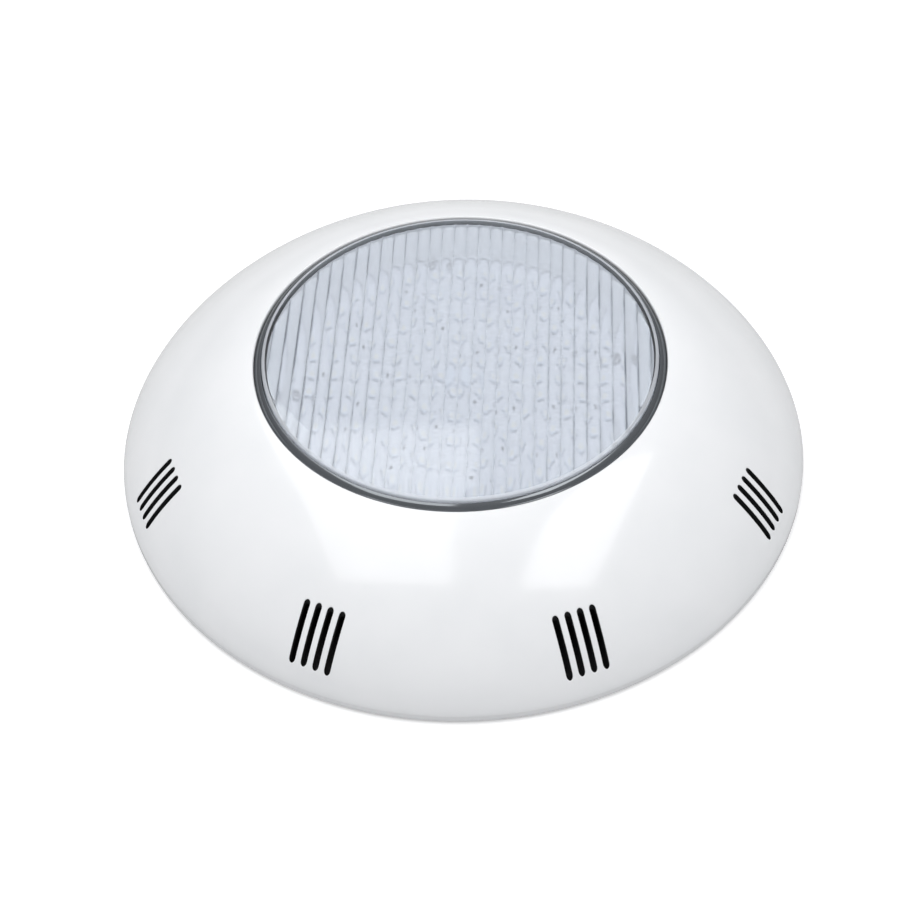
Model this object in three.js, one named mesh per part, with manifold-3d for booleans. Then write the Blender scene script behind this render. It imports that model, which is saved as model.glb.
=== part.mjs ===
// Surface-mounted underwater pool light, built as an assembly of separate solids.
// Millimetres, +Z out of the pool wall, origin at the centre of the bracket's wall face.
// A domed face ring covers a sealed lamp, the lamp snaps onto a wall bracket, and the spare
// cable is wound round the lamp behind the ring.
import * as THREE from "three";
import { mergeVertices } from "three/addons/utils/BufferGeometryUtils.js";
import Module from "manifold-3d";

// ---- Driving dimensions ----

// Face ring: a dome whose section is a superellipse, with water slots near the rim of its lower
// half, which is the half towards -Y.
const RING_R = 145;
const RING_OPENING_R = 85;
const RING_RIM_Z = 1.5;
const DOME_BASE_Z = 4.5;
const DOME_TOP_Z = 55.2;
const DOME_POWER = 1.34;
const SHELL = 2.4;
const COLLAR_WALL = 2.2;
const COLLAR_Z = 48;
const SLOT_GROUP_ANGLES = [202.5, 247.5, 292.5, 337.5];
const SLOTS_PER_GROUP = 4;
const SLOT_PITCH = 5.05;
const SLOT_WIDTH = 2.6;
const SLOT_R = [123.2, 140.6];

// Bayonet between the face ring and the lamp housing.
const BAYONETS = 4;
const BAYONET_AT = 45;
const LUG_R = 103;
const LUG_ROOT_R = 98;
const LUG_HEIGHT = 4;
const LUG_STOP_ANGLE = 3;
const TOE_HALF_ANGLE = 7;
const TOE_INNER_R = 100.7;
const TOE_CLEARANCE = 0.4;
const TOE_HEIGHT = 3.4;
const HOOK_R = [103.5, 106.5];
const HOOK_TOP_Z = 44.6;

// Lamp housing: a cup with a seal seat and a rim at its mouth.
const CUP_R = 83;
const CUP_BORE_R = 80;
const CUP_BASE_Z = 14;
const CUP_FLOOR_Z = 17;
const FLANGE_R = 100;
const FLANGE_Z = 34;
const SEAT_Z = 37;
const RIM_BORE_R = 91.6;
const RIM_TOP_Z = 41.6;
const SNAP_RIB_R = 85.3;
const SNAP_RIB_Z = [17, 19.6];
const CHAMBER_X = [79, 104.6];
const CHAMBER_LENGTH = 27;
const CHAMBER_WALL = 2.3;
const CHAMBER_END_WALL = 8;
const GLAND_ENTRY_R = 7.8;

// Lens: a disc with straight flutes under it, a skirt, and a flange that the clamp ring holds.
// The lens stands proud of the ring, with a dark seal that slopes down from it to the ring.
const SEAL_HEIGHT = 2;
const LENS_R = 81.5;
const LENS_WALL = 2.2;
const LENS_FLANGE_R = 91.2;
const LENS_FLANGE = 3;
const LENS_EDGE_Z = 57.5;
const LENS_CROWN = 1.4;
const LENS_UNDER_Z = 54.2;
const FLUTE_PITCH = 5.2;
const FLUTES = 30;
const FLUTE_Z = [52.8, 54];
const TRIM_DEPTH = 0.8;
const TRIM_RISE = 1.8;
const CLAMP_RING = 1.5;
const CLAMP_RING_R = [82.6, 99];
const CLAMP_SCREWS = 8;
const CLAMP_SCREW_R = 94.8;
const CLAMP_SCREW_DEPTH = 6;

// Light source on its heat sink.
const SINK_R = 78.5;
const SINK_Z = [34.5, 37.5];
const FIN_Z = 29.8;
const FINS = 9;
const FIN_PITCH = 14;
const FIN_THICKNESS = 2;
const FIN_MARGIN = 8;
const SINK_BORE_R = 5;
const BOARD_R = 77;
const BOARD_Z = [37.8, 39.4];
const LED_SIZE = 5;
const LED_TOP_Z = 40.6;
const LED_RINGS = [[6, 10], [14, 23], [22, 36], [30, 49], [38, 62]];
const SINK_POSTS = 4;
const SINK_POST_R = 68.2;
const SINK_POST_AT = 10;
const SINK_POST_RADIUS = 4;
const BOARD_BORE_R = 3.5;
const REFLECTOR_R = [71.5, 79];
const REFLECTOR_LIP = 0.9;

// Driver board on the housing's floor.
const DRIVER_SIZE = [88, 54, 1.6];
const DRIVER_Z = 20;
const DRIVER_HOLES = [38, 21];
const DRIVER_POST_RADIUS = 3;
const SEATING = 0.1;

// Cable and its gland, which points along a tangent of the housing.
const CABLE_R = 3.7;
const GLAND_X = 94.5;
const GLAND_Z = 24.4;
const GLAND_FACE_Y = 2;
const GLAND_BORE_R = 4.2;
const NUT_NECK_R = 6.7;
const CHAMBER_Z = 13.5;
const COIL_R = [101, 112];
const TAIL_Z = 8;
const DROP_AT = 285;
const DROP_BEND = (GLAND_Z - TAIL_Z) / 2;
const BEND_Z = 9.7;

// Wall bracket and its spring clips.
const BRACKET_R = 139;
const BRACKET_PLATE = 4;
const BRACKET_CUTOUT_R = [34, 62];
const BRACKET_CUTOUT_HALF_ANGLE = 17;
const SUPPORT_R = [72, 75];
const SUPPORT_Z = 13.7;
const CONDUIT_R = 13;
const CONDUIT_RECESS = [16, 1.6];
const CLIPS = 4;
const CLIP_AT = 45;
const CLIP_WIDTH = 12;
const CLIP_STEEL = 0.8;
const CLIP_SCREW_R = 80;
const WALL_SLOT_R = 58;
const WALL_SLOT_AT = 30;
const CLAMP_X = 28;
const CLAMP_Y = -4.5;
const CLAMP_SCREW_OFFSET = 9.5;
const CLAMP_FOOT = 2;
const SCREW_HOLE_R = 1.9;
const BLIND_HOLE_Z = 0.8;

// Roundness of turned pieces, as sides to the turn.
const ROUND = 48;
const MEDIUM = 32;
const SMALL = 8;
const GAP = 0.3;
const OVERLAP = 1;
const WELD = 1e-4;

// ---- Materials ----

const material = (color, roughness, metalness) =>
  new THREE.MeshStandardMaterial({ color, roughness, metalness });
const whitePlastic = material(0xf3f4f6, 0.28, 0);
const blackPlastic = material(0x17181a, 0.5, 0);
const darkSilicone = material(0x3a3f48, 0.35, 0);
const clearPlastic = material(0xdde6ee, 0.05, 0);
const stainless = material(0xb9bcc0, 0.3, 1);
const aluminium = material(0xa9adb2, 0.45, 1);
const nickelBrass = material(0xc4bfb0, 0.3, 1);
const whiteMask = material(0xeef1f5, 0.5, 0);
const greenBoard = material(0x1f6b3a, 0.45, 0);
const blackRubber = material(0x141414, 0.7, 0);
const ferrite = material(0x8a4b1f, 0.5, 0.4);
const brownWire = material(0x6b3a1e, 0.55, 0);
const blueWire = material(0x1f4fae, 0.55, 0);
const redWire = material(0xb3201c, 0.55, 0);

// ---- Helpers ----

const radians = THREE.MathUtils.degToRad;
const wasm = await Module();
wasm.setup();

function manifoldFrom(positions, triangles) {
  const mesh = new wasm.Mesh({ numProp: 3, vertProperties: positions, triVerts: triangles });
  return new wasm.Manifold(mesh);
}

// A closed three.js geometry as a solid: corners welded, slivers dropped, faces turned outwards.
function solid(geometry) {
  const bare = geometry.clone();
  bare.deleteAttribute("normal");
  bare.deleteAttribute("uv");
  const welded = mergeVertices(bare, WELD);
  const positions = welded.attributes.position.array;
  const triangles = [];
  for (let i = 0; i < welded.index.count; i += 3) {
    const [a, b, c] = welded.index.array.slice(i, i + 3);
    if (a !== b && b !== c && a !== c) triangles.push(a, b, c);
  }
  const made = manifoldFrom(positions, new Uint32Array(triangles));
  return made.volume() > 0 ? made : manifoldFrom(positions, new Uint32Array(triangles.reverse()));
}

const join = (first, ...rest) => rest.reduce((a, b) => a.add(solid(b)), solid(first));
const cut = (from, ...tools) => tools.reduce((a, b) => a.subtract(solid(b)), from);

function geometryOf(manifold) {
  const mesh = manifold.getMesh();
  const geometry = new THREE.BufferGeometry();
  geometry.setAttribute("position", new THREE.BufferAttribute(mesh.vertProperties, 3));
  geometry.setIndex(new THREE.BufferAttribute(mesh.triVerts, 1));
  geometry.computeVertexNormals();
  return geometry;
}

// A named mesh made from a solid or from a closed geometry.
function piece(name, shape, finish, parent, position = [0, 0, 0], turn = 0) {
  const whole = shape.isBufferGeometry ? solid(shape) : shape;
  const mesh = new THREE.Mesh(geometryOf(whole), finish);
  mesh.name = name;
  mesh.position.set(...position);
  mesh.rotation.z = radians(turn);
  parent.add(mesh);
  return mesh;
}

// An outline of [radius, height] turned round the Z axis.
function turned(outline, sides = ROUND) {
  const points = outline.map(([r, z]) => new THREE.Vector2(r, z));
  return new THREE.LatheGeometry(points, sides).rotateX(Math.PI / 2);
}

function tube(inner, outer, z0, z1, sides = ROUND) {
  return turned([[inner, z0], [outer, z0], [outer, z1], [inner, z1], [inner, z0]], sides);
}

function rod(radius, z0, z1, sides = SMALL) {
  return turned([[0, z0], [radius, z0], [radius, z1], [0, z1]], sides);
}

function block(x, y, z) {
  const size = [x[1] - x[0], y[1] - y[0], z[1] - z[0]];
  const middle = [x[0] + x[1], y[0] + y[1], z[0] + z[1]].map((sum) => sum / 2);
  return new THREE.BoxGeometry(...size).translate(...middle);
}

function raised(shape, z0, z1, curveSegments = 3) {
  const options = { depth: z1 - z0, bevelEnabled: false, curveSegments };
  return new THREE.ExtrudeGeometry(shape, options).translate(0, 0, z0);
}

// A block that follows an arc about the Z axis.
function sector(inner, outer, fromAngle, toAngle, z0, z1) {
  const shape = new THREE.Shape();
  shape.absarc(0, 0, outer, radians(fromAngle), radians(toAngle), false);
  shape.absarc(0, 0, inner, radians(toAngle), radians(fromAngle), true);
  return raised(shape, z0, z1);
}

// A slot along X with round ends.
function slot(x0, x1, width, z0, z1, curveSegments = 2) {
  const r = width / 2;
  const shape = new THREE.Shape();
  shape.absarc(x1 - r, 0, r, -Math.PI / 2, Math.PI / 2, false);
  shape.absarc(x0 + r, 0, r, Math.PI / 2, 1.5 * Math.PI, false);
  return raised(shape, z0, z1, curveSegments);
}

// A hexagonal bar about the Z axis with two of its flats square to X.
function hexBar(acrossFlats, z0, z1) {
  return rod(acrossFlats / Math.sqrt(3), z0, z1, 6).rotateZ(Math.PI / 6);
}

function disc(radius) {
  const shape = new THREE.Shape();
  shape.absarc(0, 0, radius, 0, 2 * Math.PI, false);
  return shape;
}

function alongPath(curve, radius, steps, curveSegments) {
  const options = { steps, extrudePath: curve, curveSegments };
  return new THREE.ExtrudeGeometry(disc(radius), options);
}

function smoothPath(points) {
  const vectors = points.map((p) => new THREE.Vector3(...p));
  return new THREE.CatmullRomCurve3(vectors, false, "centripetal");
}

const polar = (radius, angle, z) =>
  [radius * Math.cos(radians(angle)), radius * Math.sin(radians(angle)), z];

const angles = (count, start) => Array.from({ length: count }, (_, i) => start + (360 / count) * i);

const [holeX, holeY] = DRIVER_HOLES;
const driverHoles = [[-holeX, -holeY], [-holeX, holeY], [holeX, -holeY], [holeX, holeY]];

// A pan-head screw whose head rests on z = 0, with a hexagonal socket.
function screw(headR, headHeight, shankR, length) {
  const body = turned([[0, -length], [shankR, -length], [shankR, 0], [headR, 0],
    [headR, headHeight * 0.55], [headR * 0.72, headHeight], [0, headHeight]], 8);
  return cut(solid(body), hexBar(headR, headHeight * 0.4, headHeight + 1));
}

// ---- Face ring ----

// A point on the dome's outer section, from the rim at 0 to the lens opening at 1.
function domePoint(share) {
  const angle = (share * Math.PI) / 2;
  const out = Math.cos(angle) ** (2 / DOME_POWER);
  const up = Math.sin(angle) ** (2 / DOME_POWER);
  return [RING_OPENING_R + (RING_R - RING_OPENING_R) * out,
    DOME_BASE_Z + (DOME_TOP_Z - DOME_BASE_Z) * up];
}

// The same point moved inwards by the shell's thickness, square to the section.
function domeInnerPoint(share) {
  const nudge = 1e-3;
  const [r0, z0] = domePoint(Math.max(0, share - nudge));
  const [r1, z1] = domePoint(Math.min(1, share + nudge));
  const length = Math.hypot(r1 - r0, z1 - z0);
  const [r, z] = domePoint(share);
  return [r - (SHELL * (z1 - z0)) / length, z + (SHELL * (r1 - r0)) / length];
}

function faceRing() {
  const outerSteps = 6;
  const innerSteps = 4;
  const collarR = RING_OPENING_R + COLLAR_WALL;
  const outer = Array.from({ length: outerSteps + 1 }, (_, i) => domePoint(i / outerSteps));
  const inner = Array.from({ length: innerSteps }, (_, i) => domeInnerPoint(i / innerSteps));
  inner.push([collarR, DOME_TOP_Z - SHELL - GAP]);
  const outline = [[RING_R - SHELL, RING_RIM_Z], [RING_R, RING_RIM_Z], ...outer,
    [RING_OPENING_R, COLLAR_Z], [collarR, COLLAR_Z], ...inner.reverse(),
    [RING_R - SHELL, RING_RIM_Z]];
  let ring = solid(turned(outline));
  for (const angle of angles(BAYONETS, BAYONET_AT)) {
    const from = angle - TOE_HALF_ANGLE;
    const to = angle + TOE_HALF_ANGLE;
    const toeTop = FLANGE_Z - TOE_CLEARANCE;
    const toeZ = toeTop - TOE_HEIGHT;
    ring = ring.add(join(
      sector(HOOK_R[0], HOOK_R[1], from, to, toeZ, HOOK_TOP_Z),
      sector(TOE_INNER_R, HOOK_R[1], from, to, toeZ, toeTop),
    ));
  }
  for (const angle of SLOT_GROUP_ANGLES) {
    for (let i = 0; i < SLOTS_PER_GROUP; i++) {
      const side = (i - (SLOTS_PER_GROUP - 1) / 2) * SLOT_PITCH;
      const tool = slot(SLOT_R[0], SLOT_R[1], SLOT_WIDTH, DOME_BASE_Z, DOME_TOP_Z);
      ring = cut(ring, tool.translate(0, side, 0).rotateZ(radians(angle)));
    }
  }
  return ring;
}

// ---- Lamp ----

function lampHousing() {
  let cup = solid(turned([[0, CUP_BASE_Z], [CUP_R - 2, CUP_BASE_Z], [CUP_R, CUP_BASE_Z + 2],
    [CUP_R, SNAP_RIB_Z[0]], [SNAP_RIB_R, SNAP_RIB_Z[0] + 1.2], [SNAP_RIB_R, SNAP_RIB_Z[1] - 0.6],
    [CUP_R, SNAP_RIB_Z[1]], [CUP_R, FLANGE_Z], [FLANGE_R, FLANGE_Z], [FLANGE_R, RIM_TOP_Z],
    [RIM_BORE_R, RIM_TOP_Z], [RIM_BORE_R, SEAT_Z], [CUP_BORE_R, SEAT_Z],
    [CUP_BORE_R, CUP_FLOOR_Z], [0, CUP_FLOOR_Z]]));
  // Each lug holds down a toe of the ring, and its stop ends the ring's twist.
  for (const angle of angles(BAYONETS, BAYONET_AT)) {
    const end = angle + TOE_HALF_ANGLE + 0.5;
    const stop = angle - TOE_HALF_ANGLE - 0.6;
    const start = stop - LUG_STOP_ANGLE;
    const top = FLANGE_Z + LUG_HEIGHT;
    cup = cup.add(join(
      sector(LUG_ROOT_R, LUG_R, start, end, FLANGE_Z, top),
      sector(LUG_ROOT_R, LUG_R, start, stop, FLANGE_Z - TOE_HEIGHT, top),
    ));
  }
  // The side chamber takes the cable in, and its thick end wall carries the gland.
  const [near, far] = CHAMBER_X;
  const back = GLAND_FACE_Y - CHAMBER_LENGTH;
  const chamber = block([near, far], [back, GLAND_FACE_Y], [CHAMBER_Z, FLANGE_Z + OVERLAP]);
  const hollow = block([near - 5, far - CHAMBER_WALL],
    [back + CHAMBER_WALL, GLAND_FACE_Y - CHAMBER_END_WALL], [CUP_FLOOR_Z, FLANGE_Z - CHAMBER_WALL]);
  const entry = rod(GLAND_ENTRY_R, -CHAMBER_END_WALL - OVERLAP, OVERLAP, MEDIUM).rotateX(-Math.PI / 2);
  cup = cut(cup.add(solid(chamber)), hollow, entry.translate(GLAND_X, GLAND_FACE_Y, GLAND_Z));
  for (const angle of angles(CLAMP_SCREWS, 180 / CLAMP_SCREWS)) {
    const hole = rod(SCREW_HOLE_R, RIM_TOP_Z - CLAMP_SCREW_DEPTH, RIM_TOP_Z + OVERLAP);
    cup = cut(cup, hole.translate(...polar(CLAMP_SCREW_R, angle, 0)));
  }
  for (const angle of angles(SINK_POSTS, SINK_POST_AT)) {
    const at = polar(SINK_POST_R, angle, 0);
    cup = cup.add(solid(rod(SINK_POST_RADIUS, CUP_FLOOR_Z - OVERLAP, SINK_Z[0]).translate(...at)));
    cup = cut(cup, rod(1.6, SINK_Z[0] - 8, SINK_Z[0] + OVERLAP).translate(...at));
  }
  for (const [x, y] of driverHoles) {
    const post = rod(DRIVER_POST_RADIUS, CUP_FLOOR_Z - OVERLAP, DRIVER_Z - GAP);
    cup = cup.add(solid(post.translate(x, y, 0)));
    cup = cut(cup, rod(1.2, CUP_FLOOR_Z - 1.5, DRIVER_Z + OVERLAP).translate(x, y, 0));
  }
  return cup;
}

const lensFlangeZ = SEAT_Z + SEAL_HEIGHT;
const clampRingZ = lensFlangeZ + LENS_FLANGE;

function lens() {
  const inner = LENS_R - LENS_WALL;
  const body = turned([[0, LENS_EDGE_Z + LENS_CROWN], [LENS_R * 0.5, LENS_EDGE_Z + LENS_CROWN * 0.75],
    [LENS_R - 1.4, LENS_EDGE_Z], [LENS_R - 0.4, LENS_EDGE_Z - 0.4], [LENS_R, LENS_EDGE_Z - 1.4],
    [LENS_R, clampRingZ], [LENS_FLANGE_R, clampRingZ], [LENS_FLANGE_R, lensFlangeZ],
    [inner, lensFlangeZ], [inner, LENS_UNDER_Z], [0, LENS_UNDER_Z]]);
  const comb = new THREE.Shape();
  const half = (FLUTES * FLUTE_PITCH) / 2;
  comb.moveTo(half, LENS_UNDER_Z + 0.8);
  comb.lineTo(-half, LENS_UNDER_Z + 0.8);
  for (let i = 0; i < FLUTES; i++) {
    comb.lineTo(-half + i * FLUTE_PITCH, FLUTE_Z[1]);
    comb.lineTo(-half + (i + 0.5) * FLUTE_PITCH, FLUTE_Z[0]);
  }
  comb.lineTo(half, FLUTE_Z[1]);
  const flutes = solid(raised(comb, -LENS_R, LENS_R).rotateX(Math.PI / 2));
  const bounds = solid(rod(inner - GAP, FLUTE_Z[0] - 1, LENS_EDGE_Z, MEDIUM));
  return solid(body).add(flutes.intersect(bounds));
}

function lensTrimSeal() {
  const inner = LENS_R + GAP;
  const outer = RING_OPENING_R - GAP;
  const foot = clampRingZ + CLAMP_RING + GAP;
  const top = DOME_TOP_Z - TRIM_DEPTH;
  const edge = 0.4;
  return turned([[inner, foot], [outer, foot], [outer, top - edge], [outer - edge, top],
    [inner + edge, top + TRIM_RISE], [inner, top + TRIM_RISE - edge], [inner, foot]]);
}

function lensClampRing() {
  const [inner, outer] = CLAMP_RING_R;
  const ring = solid(tube(inner, outer, clampRingZ, clampRingZ + CLAMP_RING));
  const holes = angles(CLAMP_SCREWS, 180 / CLAMP_SCREWS).map((angle) =>
    rod(2, clampRingZ - 1, clampRingZ + CLAMP_RING + 1).translate(...polar(CLAMP_SCREW_R, angle, 0)));
  return cut(ring, ...holes);
}

function reflectorRing() {
  const foot = BOARD_Z[1] + GAP;
  const top = FLUTE_Z[0] - GAP;
  const [inner, outer] = REFLECTOR_R;
  return turned([[inner, foot], [outer, foot], [outer, top], [outer - REFLECTOR_LIP, top],
    [inner, foot]], MEDIUM);
}

function ledBoard() {
  let board = solid(rod(BOARD_R, BOARD_Z[0], BOARD_Z[1], MEDIUM));
  for (const [count, radius] of LED_RINGS) {
    for (const angle of angles(count, 0)) {
      const half = LED_SIZE / 2;
      const led = block([-half, half], [-half, half], [BOARD_Z[1] - 0.4, LED_TOP_Z]);
      board = board.add(solid(led.translate(radius, 0, 0).rotateZ(radians(angle))));
    }
  }
  const through = [BOARD_Z[0] - OVERLAP, BOARD_Z[1] + OVERLAP];
  const holes = angles(SINK_POSTS, SINK_POST_AT).map((angle) =>
    rod(SCREW_HOLE_R, ...through).translate(...polar(SINK_POST_R, angle, 0)));
  return cut(board, rod(BOARD_BORE_R, ...through), ...holes);
}

function heatSink() {
  let sink = solid(rod(SINK_R, SINK_Z[0], SINK_Z[1], MEDIUM));
  for (let i = 0; i < FINS; i++) {
    const y = (i - (FINS - 1) / 2) * FIN_PITCH;
    const half = Math.sqrt((SINK_R - FIN_MARGIN) ** 2 - y ** 2);
    const across = [y - FIN_THICKNESS / 2, y + FIN_THICKNESS / 2];
    sink = sink.add(solid(block([-half, half], across, [FIN_Z, SINK_Z[0] + OVERLAP])));
  }
  for (const angle of angles(SINK_POSTS, SINK_POST_AT)) {
    const at = polar(SINK_POST_R, angle, 0);
    const clearance = rod(SINK_POST_RADIUS + 1.2, FIN_Z - OVERLAP, SINK_Z[0]);
    const hole = rod(SCREW_HOLE_R, SINK_Z[0] - OVERLAP, SINK_Z[1] + OVERLAP);
    sink = cut(sink, clearance.translate(...at), hole.translate(...at));
  }
  return cut(sink, rod(SINK_BORE_R, FIN_Z - OVERLAP, SINK_Z[1] + OVERLAP));
}

// ---- Driver ----

function driverBoard() {
  const [length, width, thickness] = DRIVER_SIZE;
  const z = [DRIVER_Z, DRIVER_Z + thickness];
  const board = solid(block([-length / 2, length / 2], [-width / 2, width / 2], z));
  const holes = driverHoles.map(([x, y]) =>
    rod(1.5, z[0] - OVERLAP, z[1] + OVERLAP).translate(x, y, 0));
  return cut(board, ...holes);
}

function capacitor() {
  return turned([[0, 0], [5, 0], [5, 1], [4.7, 1.4], [5, 1.8], [5, 7.6], [0, 7.6]], 14);
}

function bridgeRectifier() {
  const body = block([-7, 7], [-7, 7], [0, 5]);
  return cut(solid(body), rod(1.6, -1, 6), block([5, 8], [5, 8], [3, 6]));
}

function terminalBlock() {
  const body = solid(block([-6, 6], [-4.5, 4.5], [0, 7.6]));
  const screws = [-3, 3].map((x) => rod(1.7, 5.5, 9).translate(x, 0, 0));
  const mouths = [-3, 3].map((x) => block([x - 1.6, x + 1.6], [-6, -1], [1.6, 4.6]));
  return cut(body, ...screws, ...mouths);
}

// ---- Cable and gland ----

const glandAxis = [GLAND_X, GLAND_FACE_Y, GLAND_Z];
const alongGland = (geometry) => geometry.rotateX(-Math.PI / 2);

function glandBody() {
  const spigot = tube(GLAND_BORE_R, GLAND_ENTRY_R - GAP, -7, 6, 16);
  const neck = tube(GLAND_BORE_R + 1.9, NUT_NECK_R, 5, 13, 16);
  const hex = cut(solid(hexBar(18, 1.8, 6)), rod(GLAND_BORE_R, 0, 8, 16));
  return hex.add(solid(spigot)).add(solid(neck));
}

function glandNut() {
  const shell = solid(hexBar(16, 6.3, 17.5));
  const dome = solid(turned([[0, 17], [7.9, 17], [6.6, 20.5], [0, 20.5]], 16));
  return cut(shell.add(dome), rod(NUT_NECK_R + GAP, 5, 15.5, 16), rod(GLAND_BORE_R, 5, 22, 16));
}

function cablePaths() {
  const straight = [-12, -4, 6, 16, 22].map((y) => [GLAND_X, y + GLAND_FACE_Y, GLAND_Z]);
  const turns = [];
  for (let angle = 26; angle <= DROP_AT + 360; angle += 18) {
    const share = THREE.MathUtils.smoothstep(angle, 290, 345);
    const fromEnd = THREE.MathUtils.smoothstep(angle, 400, 600) * 3;
    turns.push(polar(THREE.MathUtils.lerp(COIL_R[0], COIL_R[1], share) - fromEnd, angle, GLAND_Z));
  }
  const r = COIL_R[1] - 3;
  const perDegree = (Math.PI * r) / 180;
  // Two quarter bends take the cable straight down from the coil to the bracket's level.
  const drop = [-4, -2, 0].map((mm) => polar(r, DROP_AT + mm / perDegree, GLAND_Z));
  for (let step = 1; step <= 8; step++) {
    const angle = (step / 8) * Math.PI;
    const forward = DROP_BEND * (angle <= Math.PI / 2 ? Math.sin(angle) : 2 - Math.sin(angle));
    const z = GLAND_Z - DROP_BEND * (1 - Math.cos(angle));
    drop.push(polar(r, DROP_AT + forward / perDegree, z));
  }
  const tail = [[88, -64, TAIL_Z], [97, -42, TAIL_Z], [91, -24, TAIL_Z], [74, -13, TAIL_Z],
    [54, -7, TAIL_Z], [CLAMP_X + 8, CLAMP_Y, TAIL_Z], [CLAMP_X - 5, CLAMP_Y, TAIL_Z],
    [14, -2.4, BEND_Z - 0.4], [7, -0.6, BEND_Z]];
  // The last bend turns the cable down into the conduit.
  const bendR = 8.5;
  for (const turn of [20, 40, 60, 78]) {
    const x = 7 - bendR * Math.sin(radians(turn));
    tail.push([x, -0.6, BEND_Z - bendR * (1 - Math.cos(radians(turn)))]);
  }
  return [smoothPath([...straight, ...turns, drop[0], drop[1]]), smoothPath([...drop, ...tail])];
}

function supplyCable() {
  const [coil, tail] = cablePaths();
  return solid(alongPath(coil, CABLE_R, 70, 4)).add(solid(alongPath(tail, CABLE_R, 44, 4)));
}

// ---- Wall bracket ----

function wallBracket() {
  let bracket = solid(turned([[0, 0], [BRACKET_R, 0], [BRACKET_R, BRACKET_PLATE - 1],
    [BRACKET_R - 1, BRACKET_PLATE], [0, BRACKET_PLATE]]));
  bracket = bracket.add(solid(tube(SUPPORT_R[0], SUPPORT_R[1], BRACKET_PLATE - 1, SUPPORT_Z)));
  // The cable runs in through this gap in the support ring.
  bracket = cut(bracket, block([64, 80], [-22, -5], [BRACKET_PLATE, SUPPORT_Z + 1]));
  const [recessR, recessDepth] = CONDUIT_RECESS;
  bracket = cut(bracket, rod(CONDUIT_R, -OVERLAP, BRACKET_PLATE + OVERLAP, MEDIUM),
    rod(recessR, -OVERLAP, recessDepth, MEDIUM));
  for (const angle of angles(4, WALL_SLOT_AT)) {
    const turn = radians(angle + 90);
    const at = polar(WALL_SLOT_R, angle, 0);
    const pad = slot(-11, 11, 12, BRACKET_PLATE - 1, BRACKET_PLATE + 1.5).rotateZ(turn);
    const through = slot(-7, 7, 5.5, -1, BRACKET_PLATE + 3).rotateZ(turn);
    bracket = cut(bracket.add(solid(pad.translate(...at))), through.translate(...at));
  }
  for (const angle of angles(4, WALL_SLOT_AT + 45)) {
    const sides = [angle - BRACKET_CUTOUT_HALF_ANGLE, angle + BRACKET_CUTOUT_HALF_ANGLE];
    bracket = cut(bracket, sector(...BRACKET_CUTOUT_R, ...sides, -1, BRACKET_PLATE + 1));
  }
  for (const angle of angles(CLIPS, CLIP_AT)) {
    const at = polar(CLIP_SCREW_R, angle, 0);
    const hole = rod(SCREW_HOLE_R, BLIND_HOLE_Z, BRACKET_PLATE + OVERLAP);
    bracket = cut(bracket, hole.translate(...at));
  }
  for (const y of [-CLAMP_SCREW_OFFSET, CLAMP_SCREW_OFFSET]) {
    const hole = rod(SCREW_HOLE_R, BLIND_HOLE_Z, BRACKET_PLATE + OVERLAP);
    bracket = cut(bracket, hole.translate(CLAMP_X, CLAMP_Y + y, 0));
  }
  return bracket;
}

function cableClamp() {
  const foot = BRACKET_PLATE + GAP;
  const top = foot + CLAMP_FOOT;
  const tip = 13;
  const outer = 5.7;
  const inner = 4.4;
  const arch = new THREE.Shape();
  arch.moveTo(tip, foot);
  arch.lineTo(tip, top);
  arch.lineTo(outer, top);
  arch.lineTo(outer, TAIL_Z);
  arch.absarc(0, TAIL_Z, outer, 0, Math.PI, false);
  arch.lineTo(-outer, top);
  arch.lineTo(-tip, top);
  arch.lineTo(-tip, foot);
  arch.lineTo(-inner, foot);
  arch.lineTo(-inner, TAIL_Z);
  arch.absarc(0, TAIL_Z, inner, Math.PI, 0, true);
  arch.lineTo(inner, foot);
  const band = raised(arch, -4, 4).rotateX(Math.PI / 2).rotateZ(Math.PI / 2);
  const holes = [-CLAMP_SCREW_OFFSET, CLAMP_SCREW_OFFSET].map((y) =>
    rod(SCREW_HOLE_R, foot - OVERLAP, top + OVERLAP).translate(0, y, 0));
  return cut(solid(band), ...holes);
}

// A bent strip, seen edge-on as [radius, height] points, extruded across its width.
function strip(line, thickness, width) {
  const sides = [[], []];
  line.forEach((point, i) => {
    const before = line[Math.max(0, i - 1)];
    const after = line[Math.min(line.length - 1, i + 1)];
    const length = Math.hypot(after[0] - before[0], after[1] - before[1]);
    const normal = [-(after[1] - before[1]) / length, (after[0] - before[0]) / length];
    [1, -1].forEach((sign, side) => sides[side].push(new THREE.Vector2(
      point[0] + (sign * normal[0] * thickness) / 2,
      point[1] + (sign * normal[1] * thickness) / 2)));
  });
  const shape = new THREE.Shape([...sides[0], ...sides[1].reverse()]);
  return raised(shape, -width / 2, width / 2).rotateX(Math.PI / 2);
}

function springClip() {
  const foot = BRACKET_PLATE + GAP + CLIP_STEEL / 2;
  const line = [[76, foot], [86.4, foot], [87.7, foot + 0.5], [88.2, foot + 1.8], [88.2, 17.2],
    [87.7, 18.8], [85.1, 21.6], [85.1, 22.6], [88.4, 26.2], [91.2, 29]];
  const hole = rod(2, foot - 2, foot + 2).translate(CLIP_SCREW_R, 0, 0);
  return cut(solid(strip(line, CLIP_STEEL, CLIP_WIDTH)), hole);
}

function conduitGrommet() {
  const bore = CONDUIT_R - 4.5;
  return turned([[bore, GAP], [CONDUIT_R + 2.6, GAP], [CONDUIT_R + 2.6, 1.3], [CONDUIT_R - GAP, 1.3],
    [CONDUIT_R - GAP, BRACKET_PLATE + GAP], [CONDUIT_R + 2.6, BRACKET_PLATE + GAP],
    [CONDUIT_R + 1.8, BRACKET_PLATE + 1.3], [bore + 0.8, BRACKET_PLATE + 1.3],
    [bore, BRACKET_PLATE + 0.5], [bore, GAP]], 24);
}

// ---- Assembly ----

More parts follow.
